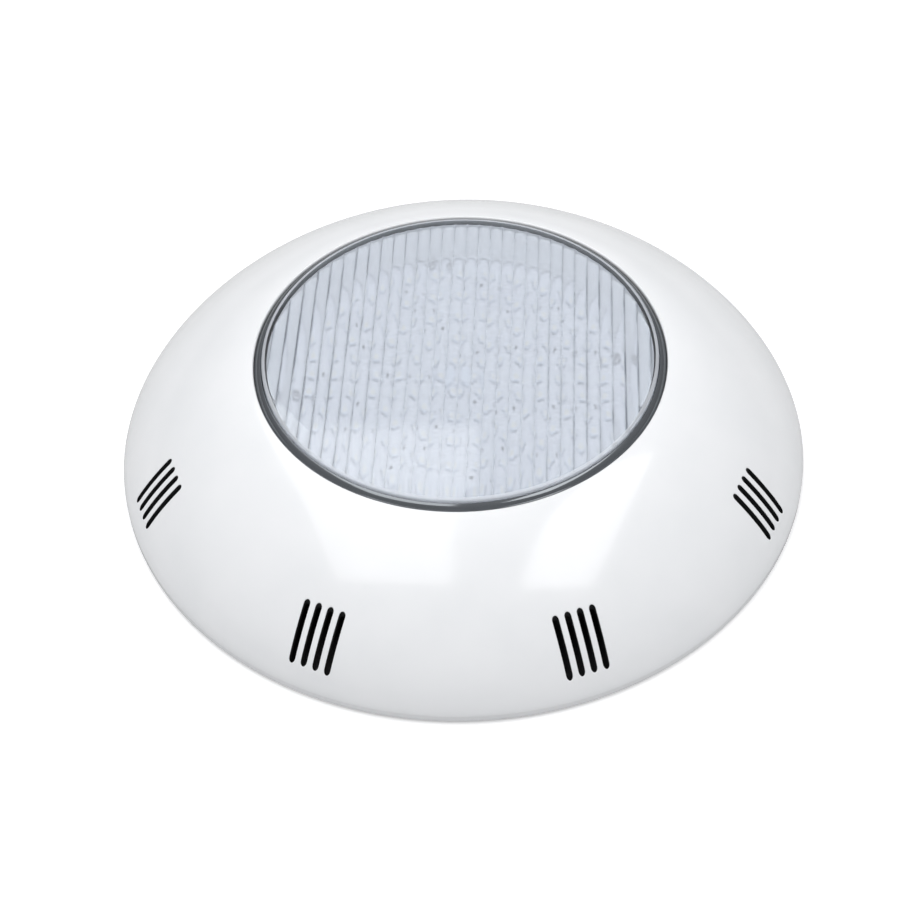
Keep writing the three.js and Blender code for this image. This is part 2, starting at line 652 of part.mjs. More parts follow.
function addBracket(light) {
  const group = new THREE.Group();
  light.add(group);
  piece("wall_bracket", wallBracket(), blackPlastic, group);
  piece("conduit_grommet", conduitGrommet(), blackRubber, group);
  piece("cable_clamp", cableClamp(), blackPlastic, group, [CLAMP_X, CLAMP_Y, 0]);
  const clampSeat = BRACKET_PLATE + GAP + CLAMP_FOOT + SEATING;
  [-CLAMP_SCREW_OFFSET, CLAMP_SCREW_OFFSET].forEach((y, i) =>
    piece(`cable_clamp_screw_${i + 1}`, screw(2.9, 1.9, 1.5, 5), stainless, group,
      [CLAMP_X, CLAMP_Y + y, clampSeat]));
  angles(CLIPS, CLIP_AT).forEach((angle, i) => {
    piece(`spring_clip_${i + 1}`, springClip(), stainless, group, [0, 0, 0], angle);
    const seat = polar(CLIP_SCREW_R, angle, BRACKET_PLATE + GAP + CLIP_STEEL + SEATING);
    piece(`spring_clip_screw_${i + 1}`, screw(3.2, 2, 1.5, 4.2), stainless, group, seat, angle);
  });
  piece("supply_cable", supplyCable(), blackRubber, group);
}

function addLens(lamp) {
  const seal = tube(CUP_BORE_R + 0.5, RIM_BORE_R - GAP, SEAT_Z + SEATING, lensFlangeZ - SEATING);
  piece("lens_seal", seal, darkSilicone, lamp);
  piece("lens", lens(), clearPlastic, lamp);
  piece("lens_trim_seal", lensTrimSeal(), darkSilicone, lamp);
  piece("lens_clamp_ring", lensClampRing(), stainless, lamp, [0, 0, SEATING]);
  angles(CLAMP_SCREWS, 180 / CLAMP_SCREWS).forEach((angle, i) => {
    const seat = polar(CLAMP_SCREW_R, angle, clampRingZ + CLAMP_RING + 2 * SEATING);
    piece(`clamp_ring_screw_${i + 1}`, screw(2.9, 1.7, 1.5, 6.5), stainless, lamp, seat, angle);
  });
}

function addLightSource(lamp) {
  piece("reflector_ring", reflectorRing(), whitePlastic, lamp);
  piece("led_board", ledBoard(), whiteMask, lamp);
  piece("heat_sink", heatSink(), aluminium, lamp, [0, 0, SEATING]);
  angles(SINK_POSTS, SINK_POST_AT).forEach((angle, i) => {
    const seat = polar(SINK_POST_R, angle, BOARD_Z[1] + SEATING);
    piece(`led_board_screw_${i + 1}`, screw(3, 1.6, 1.4, 11), stainless, lamp, seat, angle);
  });
}

function addDriver(lamp) {
  const driver = new THREE.Group();
  lamp.add(driver);
  const top = DRIVER_Z + DRIVER_SIZE[2] + SEATING;
  piece("driver_board", driverBoard(), greenBoard, driver);
  driverHoles.forEach(([x, y], i) =>
    piece(`driver_board_screw_${i + 1}`, screw(2.3, 1.5, 1, 4), stainless, driver, [x, y, top]));
  piece("bridge_rectifier", bridgeRectifier(), blackPlastic, driver, [14, 14, top]);
  piece("capacitor_1", capacitor(), blackPlastic, driver, [-2, 15, top]);
  piece("capacitor_2", capacitor(), blackPlastic, driver, [-15, 15, top]);
  const choke = new THREE.TorusGeometry(6.5, 2.6, 8, 20);
  piece("choke", choke, ferrite, driver, [-12, -9, top + 2.6]);
  piece("driver_chip", block([-3, 3], [-2.5, 2.5], [0, 1.8]), blackPlastic, driver, [6, -12, top]);
  piece("terminal_block", terminalBlock(), greenBoard, driver, [36, 0, top], 90);
}

function addWires(lamp) {
  const top = DRIVER_Z + DRIVER_SIZE[2];
  const entry = GLAND_FACE_Y - 12 - 0.4;
  const core = (side) => smoothPath([[GLAND_X, entry, GLAND_Z + side * 1.6],
    [GLAND_X - 1, entry - 3, GLAND_Z + side * 1.7], [GLAND_X - 7, entry - 6, GLAND_Z + side * 1.8],
    [74, -11, GLAND_Z + side * 1.8], [60, -6 + side * 2.4, top + 3.6], [52, side * 3, top + 3.2],
    [42.5, side * 3, top + 3.2]]);
  piece("live_core", alongPath(core(1), 1.1, 16, 3), brownWire, lamp);
  piece("neutral_core", alongPath(core(-1), 1.1, 16, 3), blueWire, lamp);
  const lead = (side) => smoothPath([[side * 1.8, -21, top + 0.4], [side * 1.8, -20.4, top + 4],
    [side * 1.6, -14, top + 6.2], [side * 1.5, -5, top + 7], [side * 1.4, -0.6, top + 10],
    [side * 1.4, 0, SINK_Z[0]], [side * 1.4, 0, BOARD_Z[1] + 0.6]]);
  piece("output_lead_positive", alongPath(lead(1), 0.9, 16, 3), redWire, lamp);
  piece("output_lead_negative", alongPath(lead(-1), 0.9, 16, 3), blackRubber, lamp);
}

function addGland(lamp) {
  piece("gland_body", alongGland(geometryOf(glandBody())), nickelBrass, lamp, glandAxis);
  piece("gland_nut", alongGland(geometryOf(glandNut())), nickelBrass, lamp, glandAxis);
  piece("gland_o_ring", alongGland(tube(7.8, 9.2, 0.1, 1.6, 16)), blackRubber, lamp, glandAxis);
  const sleeve = tube(CABLE_R + 0.2, CABLE_R + 2.1, 7, 15, 16);
  piece("gland_seal", alongGland(sleeve), blackRubber, lamp, glandAxis);
}

const light = new THREE.Group();
addBracket(light);
const lamp = new THREE.Group();
light.add(lamp);
piece("lamp_housing", lampHousing(), blackPlastic, lamp);
addLens(lamp);
addLightSource(lamp);
addDriver(lamp);
addWires(lamp);
addGland(lamp);
piece("face_ring", faceRing(), whitePlastic, lamp);

export default light;
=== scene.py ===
"""Looks of a surface-mounted underwater pool light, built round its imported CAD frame.

Lengths are in metres, unless a name ends in _MM or a docstring says millimetres. Places come from
the frame's boxes, and the main sizes that a box doesn't give are named here.
"""

import math
import random

import bmesh
import bpy
from mathutils import Matrix, Vector
from mathutils.geometry import delaunay_2d_cdt


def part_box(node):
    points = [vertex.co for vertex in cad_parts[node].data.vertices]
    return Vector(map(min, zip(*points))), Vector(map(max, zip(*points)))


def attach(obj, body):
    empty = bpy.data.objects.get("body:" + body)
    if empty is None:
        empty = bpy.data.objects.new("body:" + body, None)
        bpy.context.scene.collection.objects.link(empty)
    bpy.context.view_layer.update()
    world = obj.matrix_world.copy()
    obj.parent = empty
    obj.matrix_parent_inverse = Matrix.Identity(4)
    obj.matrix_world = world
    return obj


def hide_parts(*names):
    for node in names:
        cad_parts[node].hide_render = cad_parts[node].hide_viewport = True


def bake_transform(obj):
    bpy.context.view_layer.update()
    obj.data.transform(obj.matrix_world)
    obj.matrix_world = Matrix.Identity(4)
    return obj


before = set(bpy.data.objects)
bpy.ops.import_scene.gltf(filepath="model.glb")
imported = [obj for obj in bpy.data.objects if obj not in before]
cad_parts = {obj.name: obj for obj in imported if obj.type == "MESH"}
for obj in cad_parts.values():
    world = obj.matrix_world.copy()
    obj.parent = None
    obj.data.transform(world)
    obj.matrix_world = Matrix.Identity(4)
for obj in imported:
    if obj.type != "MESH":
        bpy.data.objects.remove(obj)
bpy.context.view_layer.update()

MM = 0.001
TAU = 2 * math.pi
WELD = 2e-6
FULL_SMOOTH = 180
random.seed(7)


def mm(*lengths):
    """Lengths, or a point's coordinates, given in millimetres."""
    return tuple(length * MM for length in lengths)



# ---- Places and sizes taken from the frame ----

RING_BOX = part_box("face_ring")
LENS_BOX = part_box("lens")
TRIM_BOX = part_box("lens_trim_seal")
BOARD_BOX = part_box("led_board")
HOUSING_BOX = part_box("lamp_housing")
BRACKET_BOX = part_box("wall_bracket")
CLAMP_RING_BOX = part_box("lens_clamp_ring")
SINK_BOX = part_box("heat_sink")
DRIVER_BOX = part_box("driver_board")
GLAND_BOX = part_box("gland_body")

RING_R = RING_BOX[1].x
RIM_Z = RING_BOX[0].z
DOME_TOP_Z = RING_BOX[1].z
GAP = 0.3 * MM
OPENING_R = TRIM_BOX[1].x + GAP

# ---- Face ring ----

DOME_BASE_Z = 4.5 * MM
DOME_POWER = 1.34
SHELL = 2.4 * MM
COLLAR_WALL = 2.2 * MM
COLLAR_Z = 48 * MM
SECTORS = 8
SLOTTED_SECTORS = (4, 5, 6, 7)
SLOTS_PER_GROUP = 4
SLOT_PITCH = 5.05 * MM
SLOT_WIDTH = 2.6 * MM
SLOT_TIPS = mm(123.2, 140.6)
SLOT_ROUNDING = 0.3 * MM
OUTER_BAND = mm(118, 143)
INNER_BAND = mm(117, 141.6)
BAND_ROWS = 16
SIDES = 480
SECTION_SAMPLES = 4000
RIM_SHARE = 0.16
BAYONETS = [math.radians(45 + 90 * k) for k in range(4)]
TOE_HALF_ANGLE = math.radians(7)
TOE_R = 100.7 * MM
HOOK_R = mm(103.5, 106.5)
HOOK_Z = mm(30.2, 33.6, 44.6)

# ---- Lamp ----

LENS_R = TRIM_BOX[1].x - 3.2 * MM
LENS_TOP_Z = LENS_BOX[1].z
LENS_FOOT_Z = LENS_BOX[0].z
LENS_FLANGE_R = LENS_BOX[1].x
LENS_CROWN = 1.4 * MM
TRIM_RISE = 1.8 * MM
LENS_WALL = 2.2 * MM
LENS_FLANGE = 3 * MM
LENS_UNDER_Z = LENS_TOP_Z - 4.7 * MM
FLUTE_PITCH = 5.2 * MM
FLUTE_R = 4.7 * MM
FLUTE_STEPS = 10
RIM_STEPS = 240
CROWN_ROWS = 14
STRIP_CELLS = 20
CUP_R = 83 * MM
CUP_BORE_R = 80 * MM
CUP_BASE_Z = 14 * MM
CUP_FLOOR_Z = 17 * MM
FLANGE_R = 100 * MM
FLANGE_Z = 34 * MM
SEAT_Z = 37 * MM
RIM_BORE_R = 91.6 * MM
SNAP_RIB_R = 85.3 * MM
LUG_R = mm(98, 103)
LUG_Z = mm(30.6, 38)
CHAMBER_X = mm(79, 104.6)
CHAMBER_Y = mm(-25, 2)
CHAMBER_WALL = 2.3 * MM
CHAMBER_END_WALL = 8 * MM
GLAND_HOLE_R = 7.8 * MM
CLAMP_SCREWS = 8
CLAMP_SCREW_R = 94.8 * MM
CLAMP_HOLE_R = 2.1 * MM
CLAMP_BORE_R = 82.6 * MM
LED_RINGS = ((6, 10 * MM), (14, 23 * MM), (22, 36 * MM), (30, 49 * MM), (38, 62 * MM))
LED_SIZE = 5 * MM
LED_HEIGHT = 1.2 * MM
RESISTOR_RINGS_MM = (16.5, 29.5, 42.5, 55.5)
SINK_PLATE = 3 * MM
FINS = 9
FIN_PITCH = 14 * MM
FIN_MARGIN = 8 * MM
LEAD_BORE_R = 3.5 * MM
RIBS = 174
RIB_DEPTH = 0.6 * MM
SINK_POST_R = 68.2 * MM
SINK_POSTS = [math.radians(10 + 90 * k) for k in range(4)]
DRIVER_HOLES = mm(38, 21)
SMALL_PARTS_MM = ((20, -14), (24, -14), (28, -14), (-28, 6), (-28, 2), (-28, -2), (0, -20), (8, -20),
                  (16, -4))

# ---- Cable, gland and bracket ----

CABLE_R = 3.7 * MM
GLAND_AXIS = Vector((GLAND_BOX[0].x + GLAND_BOX[1].x, 0, GLAND_BOX[0].z + GLAND_BOX[1].z)) / 2
GLAND_AXIS.y = CHAMBER_Y[1]
COIL_R = mm(101, 112)
TAIL_Z = 8 * MM
# Bearings along the cable, in degrees.
DROP_AT = 285
COIL_WIDENS = (290, 345)
COIL_NARROWS = (400, 600)
CABLE_TAIL_MM = ((88, -64), (97, -42), (91, -24), (74, -13), (54, -7), (36, -4.5), (23, -4.5))
BRACKET_PLATE = 4 * MM
STIFFENERS = 12
SUPPORT_R = mm(72, 75)
SUPPORT_GAP = (math.radians(-4), math.radians(342.6))
CONDUIT_R = 13 * MM
CUTOUT_R = mm(34, 62)
CUTOUT_HALF_ANGLE = math.radians(17)
WALL_SLOT_R = 58 * MM
WALL_SLOT_AT = math.radians(30)
CLIP_STEEL = 0.8 * MM
CLIP_WIDTH = 12 * MM
CLIP_LINE_MM = ((76, 0), (86.4, 0), (88.2, 1.8), (88.2, 12.9), (85.1, 16.9), (85.1, 17.9), (91.2, 24.3))
CLIP_BEND = 1.4 * MM

# ---- Lens finish, stage and camera ----

FROST = (0.04, 0.09)
MILK = 0.4
EDGE_MILK = 0.6
MILK_TINT = (0.63, 0.655, 0.7)
# Colour of the painted shade lines along the lens's flute valleys.
VALLEY_PAINTED_SHADE = (0.1, 0.115, 0.14)
FLOOR_GLOW = 0.3
FLOOR_SHADE = 0.55
FLOOR_DROP = 0.1 * MM
BACKDROP = 0.9
SKY = (0.37, 0.66)
CAMERA_AZIMUTH = 3.66
CAMERA_ELEVATION = 47.5
CAMERA_ROLL = -1.81
CAMERA_DISTANCE = 0.873
CAMERA_LENS = 81.0
CAMERA_SENSOR = 36
CAMERA_SHIFT = (-0.0143, -0.006)


# ---- Mesh helpers ----

def arc(center, radius, start, end, steps):
    """Points on a circle in the plane, both ends included."""
    return [(center[0] + radius * math.cos(start + (end - start) * k / steps),
             center[1] + radius * math.sin(start + (end - start) * k / steps)) for k in range(steps + 1)]


def circle(radius, steps=96, center=(0, 0)):
    return arc(center, radius, 0, TAU, steps)[:-1]


def stadium(x0, x1, radius, y=0.0, side_steps=1):
    """A slot's outline along X, with its end centres at x0 and x1."""
    lower = [(x0 + (x1 - x0) * k / side_steps, y - radius) for k in range(side_steps)]
    upper = [(x1 + (x0 - x1) * k / side_steps, y + radius) for k in range(side_steps)]
    right = arc((x1, y), radius, -math.pi / 2, math.pi / 2, 8)[:-1]
    left = arc((x0, y), radius, math.pi / 2, 1.5 * math.pi, 8)[:-1]
    return lower + right + upper + left


def moved(outline, place, turn):
    """A flat outline turned about its origin and then put in place."""
    cos, sin = math.cos(turn), math.sin(turn)
    return [(place[0] + x * cos - y * sin, place[1] + x * sin + y * cos) for x, y in outline]


def about_z(angle):
    return Matrix.Rotation(angle, 4, "Z")


def polar(radius, bearing, z=0.0):
    return Vector((radius * math.cos(bearing), radius * math.sin(bearing), z))


def rectangle(x, y):
    return [(x[0], y[0]), (x[1], y[0]), (x[1], y[1]), (x[0], y[1])]


def rounded(outline, radius, steps=4, keep=()):
    """A closed outline with each corner rounded off, apart from the corners numbered in keep."""
    points = [Vector(p) for p in outline]
    result = []
    for i, corner in enumerate(points):
        before, after = points[i - 1], points[(i + 1) % len(points)]
        a, b = (before - corner), (after - corner)
        straight = a.normalized().dot(b.normalized()) < -0.985
        if i in keep or straight or min(a.length, b.length) < 1e-7:
            result.append(corner)
            continue
        half = a.angle(b) / 2
        reach = min(radius / math.tan(half), a.length * 0.45, b.length * 0.45)
        start, end = corner + a.normalized() * reach, corner + b.normalized() * reach
        for step in range(steps + 1):
            t = step / steps
            result.append(start.lerp(corner, t).lerp(corner.lerp(end, t), t))
    return result


def hexagon(across):
    """Radius by bearing of a hexagon with two of its flats square to X."""
    return lambda b: across / 2 / math.cos((b + math.pi / 6) % (math.pi / 3) - math.pi / 6)


def within(radius, limit):
    """A round of that radius, cut down to the shape that limit gives."""
    return lambda b: min(radius, limit(b))


def distinct(items):
    """The items in their order, each once."""
    return list(dict.fromkeys(items))


def skin(bm, rows, closed=False):
    """Faces between rows of vertices, each row a loop. Vertices that coincide are named once."""
    made = []
    pairs = list(zip(rows, rows[1:]))
    if closed:
        pairs.append((rows[-1], rows[0]))
    for low, high in pairs:
        for k in range(len(low)):
            n = (k + 1) % len(low)
            corners = distinct((low[k], low[n], high[n], high[k]))
            if len(corners) > 2:
                made.append(bm.faces.new(corners))
    return made


def capped(bm, rows):
    """Faces between rows of vertices, with one more at each end."""
    skin(bm, rows)
    bm.faces.new(rows[0])
    bm.faces.new(reversed(rows[-1]))


def turned(bm, outline, sides=SIDES, closed=True):
    """An outline of (radius, height) points turned round Z. A radius may be a function of the bearing."""
    rows = []
    for r, z in outline:
        if callable(r):
            rows.append([bm.verts.new(polar(r(TAU * k / sides), TAU * k / sides, z)) for k in range(sides)])
        elif r < 1e-7:
            rows.append([bm.verts.new((0, 0, z))] * sides)
        else:
            rows.append([bm.verts.new(polar(r, TAU * k / sides, z)) for k in range(sides)])
    skin(bm, rows, closed)
    return rows


def swept(bm, outline, start, end, steps=12):
    """A closed (radius, height) outline carried round Z between two bearings, with flat ends."""
    rows = [[bm.verts.new(polar(r, start + (end - start) * k / steps, z)) for r, z in outline]
            for k in range(steps + 1)]
    capped(bm, rows)


def inside(point, outline):
    """Whether a point lies within a closed outline, by the crossings to its right."""
    odd = False
    for (x0, y0), (x1, y1) in zip(outline, (*outline[1:], outline[0])):
        if (y0 > point[1]) != (y1 > point[1]) and point[0] < x0 + (point[1] - y0) / (y1 - y0) * (x1 - x0):
            odd = not odd
    return odd


def joined(outlines):
    """The points of closed outlines, in millimetres, and the edges that join them."""
    points, edges = [], []
    for outline in outlines:
        first = len(points)
        points.extend(Vector(p) / MM for p in outline)
        edges.extend((first + k, first + (k + 1) % len(outline)) for k in range(len(outline)))
    return points, edges


def plate(bm, outer, holes, low, high):
    """A flat piece with holes, from its outlines."""
    points, edges = joined((outer, *holes))
    flat, _, triangles, _, _, _ = delaunay_2d_cdt(points, edges, [], 1, 1e-6)
    top = [bm.verts.new((p.x * MM, p.y * MM, high)) for p in flat]
    bottom = [bm.verts.new((p.x * MM, p.y * MM, low)) for p in flat]
    sides = set()
    for face in triangles:
        middle = sum((flat[k] for k in face), Vector((0, 0))) / 3 * MM
        if any(inside(middle, hole) for hole in holes):
            continue
        bm.faces.new([top[k] for k in face])
        bm.faces.new([bottom[k] for k in reversed(face)])
        sides.update(zip(face, (*face[1:], face[0])))
    for a, b in sorted(sides):
        if (b, a) not in sides:
            bm.faces.new((top[b], top[a], bottom[a], bottom[b]))


def block(bm, low, high, edge=0.0, segments=2, matrix=None, material=0):
    """A block between two corners, its edges rounded where edge gives a width."""
    low, high = Vector(low), Vector(high)
    made = bmesh.ops.create_cube(bm, size=1, matrix=Matrix.Translation((low + high) / 2)
                                 @ Matrix.Diagonal((*(high - low), 1)))
    verts = made["verts"]
    if edge:
        edges = distinct(e for v in verts for e in v.link_edges)
        out = bmesh.ops.bevel(bm, geom=edges, offset=edge, segments=segments, affect="EDGES", profile=0.5)
        left = [v for v in verts if v.is_valid]
        verts = distinct([*(v for f in out["faces"] for v in f.verts), *left])
    if matrix:
        bmesh.ops.transform(bm, matrix=matrix, verts=verts)
    mark_faces({f for v in verts for f in v.link_faces}, material)


def smooth_line(points, spacing):
    """Points along a centripetal Catmull-Rom curve through the given ones."""
    p = [Vector(q) for q in points]
    p = [2 * p[0] - p[1], *p, 2 * p[-1] - p[-2]]
    result = []
    for a, b, c, d in zip(p, p[1:], p[2:], p[3:]):
        t1 = (b - a).length ** 0.5
        t2 = t1 + (c - b).length ** 0.5
        t3 = t2 + (d - c).length ** 0.5
        steps = max(2, math.ceil((c - b).length / spacing))
        for k in range(steps):
            t = t1 + (t2 - t1) * k / steps
            ab, bc, cd = a.lerp(b, t / t1), b.lerp(c, (t - t1) / (t2 - t1)), c.lerp(d, (t - t2) / (t3 - t2))
            result.append(ab.lerp(bc, t / t2).lerp(bc.lerp(cd, (t - t1) / (t3 - t1)), (t - t1) / (t2 - t1)))
    return [*result, p[-2]]


def directions(line):
    """The direction of a line of points at each of its points."""
    return [(after - before).normalized()
            for before, after in zip([line[0], *line], [*line[1:], line[-1]])]


def tube(bm, line, radius, sides=20):
    """A round bar along a line of points, its two end rings a little narrower."""
    tangents = directions(line)
    angles = [TAU * k / sides for k in range(sides)]
    side = tangents[0].orthogonal().normalized()
    rows = []
    for i, (point, tangent) in enumerate(zip(line, tangents)):
        side = (side - tangent * side.dot(tangent)).normalized()
        up = tangent.cross(side)
        r = radius * (0.93 if i in (0, len(line) - 1) else 1)
        rows.append([bm.verts.new(point + side * r * math.cos(a) + up * r * math.sin(a)) for a in angles])
    capped(bm, rows)


def bodies(bm):
    """The mesh's separate closed bodies, each as a list of its faces."""
    bm.faces.ensure_lookup_table()
    bm.faces.index_update()
    seen = set()
    for first in bm.faces:
        if first.index in seen:
            continue
        seen.add(first.index)
        body, waiting = [], [first]
        while waiting:
            face = waiting.pop()
            body.append(face)
            for near in (other for edge in face.edges for other in edge.link_faces):
                if near.index not in seen:
                    seen.add(near.index)
                    waiting.append(near)
        yield body


def face_outwards(bm):
    """Turns each body's faces outwards, so that its signed volume is positive."""
    bmesh.ops.recalc_face_normals(bm, faces=bm.faces)
    for body in list(bodies(bm)):
        volume = 0
        for face in body:
            first, *others = [v.co for v in face.verts]
            volume += sum(first.dot(a.cross(b)) for a, b in zip(others, others[1:]))
        if volume < 0:
            bmesh.ops.reverse_faces(bm, faces=body)


def mark_faces(faces, slot):
    """Gives faces the material in that slot."""
    for face in faces:
        face.material_index = slot


def vertices_of(rows):
    """The vertices in some rows, each once."""
    return distinct(v for row in rows for v in row)


def finish_mesh(bm, name, materials, sharp_degrees=38.0, weld=WELD, place=None, turn=None):
    """Welds, orients and shades a mesh, and returns its object."""
    if weld:
        bmesh.ops.remove_doubles(bm, verts=bm.verts, dist=weld)
    if turn:
        bmesh.ops.transform(bm, matrix=turn, verts=bm.verts)
    if place is not None:
        bmesh.ops.translate(bm, vec=place, verts=bm.verts)
    face_outwards(bm)
    limit = math.radians(sharp_degrees)
    for face in bm.faces:
        face.smooth = True
    for edge in bm.edges:
        if len(edge.link_faces) == 2 and edge.calc_face_angle(0) > limit:
            edge.smooth = False
    mesh = bpy.data.meshes.new(name)
    bm.to_mesh(mesh)
    bm.free()
    obj = bpy.data.objects.new(name, mesh)
    bpy.context.scene.collection.objects.link(obj)
    for material in materials:
        mesh.materials.append(material)
    return obj


def apply_modifiers(obj):
    """Replaces obj's mesh by what its modifiers make of it."""
    bpy.context.view_layer.update()
    evaluated = obj.evaluated_get(bpy.context.evaluated_depsgraph_get())
    mesh = bpy.data.meshes.new_from_object(evaluated)
    obj.modifiers.clear()
    old = obj.data
    obj.data = mesh
    bpy.data.meshes.remove(old)


def combine(obj, tool, operation):
    """Joins the closed body in tool to obj, or cuts it away."""
    other = finish_mesh(tool, "tool", obj.data.materials[:1])
    change = obj.modifiers.new("change", "BOOLEAN")
    change.operation = operation
    change.solver = "MANIFOLD"
    change.object = other
    apply_modifiers(obj)
    bpy.data.objects.remove(other)


def soften(obj, width, segments=2, limit=35):
    """Rounds obj's edges, and lets its large faces set the shading."""
    bevel = obj.modifiers.new("edges", "BEVEL")
    bevel.width = width
    bevel.segments = segments
    bevel.limit_method = "ANGLE"
    bevel.angle_limit = math.radians(limit)
    apply_modifiers(obj)
    for edge in obj.data.edges:
        edge.use_edge_sharp = False
    for polygon in obj.data.polygons:
        polygon.use_smooth = True
    return weigh_normals(obj)


def weigh_normals(obj):
    """Lets obj's large faces set the shading of its edges."""
    modifier = obj.modifiers.new("weighted", "WEIGHTED_NORMAL")
    modifier.keep_sharp = True
    modifier.weight = 90
    return obj


def stand_in(obj, body, slot, *nodes):
    """obj stands for these CAD nodes and rides on their body. The slot is not used."""
    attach(obj, body)
    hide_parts(*nodes)
    return obj


# ---- Materials ----

class Nodes:
    """A short way to write a node tree."""

    def __init__(self, name):
        self.material = bpy.data.materials.new(name)
        self.material.use_nodes = True
        self.tree = self.material.node_tree
        self.bsdf = self.tree.nodes["Principled BSDF"]
        self.output = self.tree.nodes["Material Output"]
        self.place = self.add("ShaderNodeTexCoord").outputs["Object"]

    def add(self, kind, **values):
        node = self.tree.nodes.new(kind)
        for key, value in values.items():
            if hasattr(node, key):
                setattr(node, key, value)
            else:
                self.put(node.inputs[key], value)
        return node

    def put(self, socket, value):
        if isinstance(value, bpy.types.NodeSocket):
            self.tree.links.new(value, socket)
        else:
            socket.default_value = value

    def set(self, **values):
        for key, value in values.items():
            self.put(self.bsdf.inputs[key.replace("_", " ")], value)

    def noise(self, size, detail=3.0, stretch=(1, 1, 1)):
        """Noise whose features are about size metres across."""
        scaled = self.add("ShaderNodeMapping", vector_type="POINT")
        self.put(scaled.inputs["Vector"], self.place)
        scaled.inputs["Scale"].default_value = stretch
        node = self.add("ShaderNodeTexNoise", Scale=1 / size, Detail=detail, Roughness=0.5)
        self.put(node.inputs["Vector"], scaled.outputs["Vector"])
        return node.outputs["Fac"]

    def spread(self, value, low, high, source=(0.3, 0.7)):
        """Value moved from the source range to the one between low and high."""
        node = self.add("ShaderNodeMapRange")
        self.put(node.inputs["Value"], value)
        for key, number in zip(("From Min", "From Max", "To Min", "To Max"), (*source, low, high)):
            node.inputs[key].default_value = number
        return node.outputs["Result"]

    def between(self, factor, first, second):
        """A colour between two."""
        node = self.add("ShaderNodeMix", data_type="RGBA")
        self.put(node.inputs[0], factor)
        self.put(node.inputs[6], first if isinstance(first, bpy.types.NodeSocket) else (*first, 1))
        self.put(node.inputs[7], second if isinstance(second, bpy.types.NodeSocket) else (*second, 1))
        return node.outputs[2]

    def clouds(self, size, first, second, detail=3.0):
        """Two colours in soft patches about size metres across."""
        return self.between(self.spread(self.noise(size, detail), 0, 1), first, second)

    def mix(self, factor, first, second):
        """A shader between two."""
        node = self.add("ShaderNodeMixShader")
        for socket, value in zip(node.inputs, (factor, first, second)):
            self.put(socket, value)
        return node.outputs[0]

    def bump(self, height, distance, strength=1.0, normal=None):
        node = self.add("ShaderNodeBump", Strength=strength, Distance=distance)
        self.put(node.inputs["Height"], height)
        if normal is not None:
            self.put(node.inputs["Normal"], normal)
        self.put(self.bsdf.inputs["Normal"], node.outputs["Normal"])
        return node.outputs["Normal"]


def moulded(name, dark, light, roughness, grain=0.4 * MM, depth=0.004 * MM, coat=0.0):
    """Moulded plastic or rubber: faint shade changes, a slightly uneven gloss, a wavy skin and a grain."""
    nodes = Nodes(name)
    shade = nodes.clouds(28 * MM, dark, light)
    gloss = nodes.spread(nodes.noise(9 * MM, 5), *roughness)
    nodes.set(Base_Color=shade, Roughness=gloss, Coat_Weight=coat, Coat_Roughness=0.06)
    slow = nodes.bump(nodes.noise(11 * MM, 1), 0.02 * MM, 0.35)
    nodes.bump(nodes.noise(grain, 2), depth, 0.6, slow)
    return nodes.material


def metal(name, dark, light, roughness, brush=(1, 1, 1), grain=0.6 * MM):
    """Bare metal with fine tool marks. Brush squeezes the marks along an axis."""
    nodes = Nodes(name)
    marks = nodes.noise(grain, 4, brush)
    nodes.set(Base_Color=nodes.clouds(8 * MM, dark, light, 4), Metallic=1.0,
              Roughness=nodes.spread(marks, *roughness))
    nodes.bump(marks, 0.01 * MM, 0.4)
    return nodes.material


def white_abs():
    return moulded("white_abs", (0.83, 0.84, 0.855), (0.86, 0.866, 0.88), (0.13, 0.17), coat=0.3)


def satin_white():
    return moulded("satin_white", (0.76, 0.78, 0.81), (0.8, 0.82, 0.85), (0.3, 0.4))


def black_abs():
    return moulded("black_abs", (0.012, 0.012, 0.014), (0.022, 0.022, 0.024), (0.38, 0.5),
                   grain=0.7 * MM, depth=0.03 * MM)


def slot_shade():
    """Painted shade: a near-black colour for the slots' walls in the white ring, standing in for the shade on
    them and in the dark space behind them.
    """
    return moulded("slot_shade", (0.004, 0.004, 0.005), (0.007, 0.007, 0.008), (0.7, 0.8))


def dark_silicone():
    return moulded("dark_silicone", (0.04, 0.047, 0.058), (0.058, 0.066, 0.08), (0.16, 0.24),
                   grain=0.3 * MM, depth=0.003 * MM)


def glossy_silicone():
    """The seal round the lens, polished by its mould, so that it mirrors its surroundings darkly."""
    nodes = Nodes("glossy_silicone")
    shade = nodes.clouds(20 * MM, (0.012, 0.014, 0.018), (0.02, 0.023, 0.028))
    nodes.set(Base_Color=shade, Roughness=nodes.spread(nodes.noise(6 * MM, 4), 0.08, 0.13), IOR=2.4,
              Specular_Tint=(0.9, 0.95, 1, 1))
    nodes.bump(nodes.noise(5 * MM, 2), 0.01 * MM, 0.3)
    return nodes.material


def black_rubber():
    return moulded("black_rubber", (0.011, 0.011, 0.012), (0.02, 0.02, 0.021), (0.5, 0.66),
                   grain=0.5 * MM, depth=0.02 * MM)


def wire_sleeve(name, dark, light):
    """Coloured insulation or casing."""
    return moulded(name, dark, light, (0.3, 0.42), grain=0.5 * MM, depth=0.01 * MM)


def capacitor_sleeve():
    return moulded("capacitor_sleeve", (0.01, 0.013, 0.03), (0.016, 0.02, 0.042), (0.16, 0.24))


def led_body():
    return moulded("led_body", (0.6, 0.64, 0.71), (0.66, 0.7, 0.76), (0.35, 0.45), grain=0.2 * MM)


def stainless():
    return metal("stainless", (0.52, 0.53, 0.55), (0.64, 0.65, 0.66), (0.2, 0.36))


def spring_steel():
    """Rolled strip, its marks drawn out along the strip."""
    return metal("spring_steel", (0.5, 0.51, 0.53), (0.62, 0.63, 0.64), (0.18, 0.34), (1, 1, 0.08))


def aluminium():
    return metal("aluminium", (0.62, 0.63, 0.64), (0.72, 0.73, 0.74), (0.32, 0.48), (0.1, 1, 1))


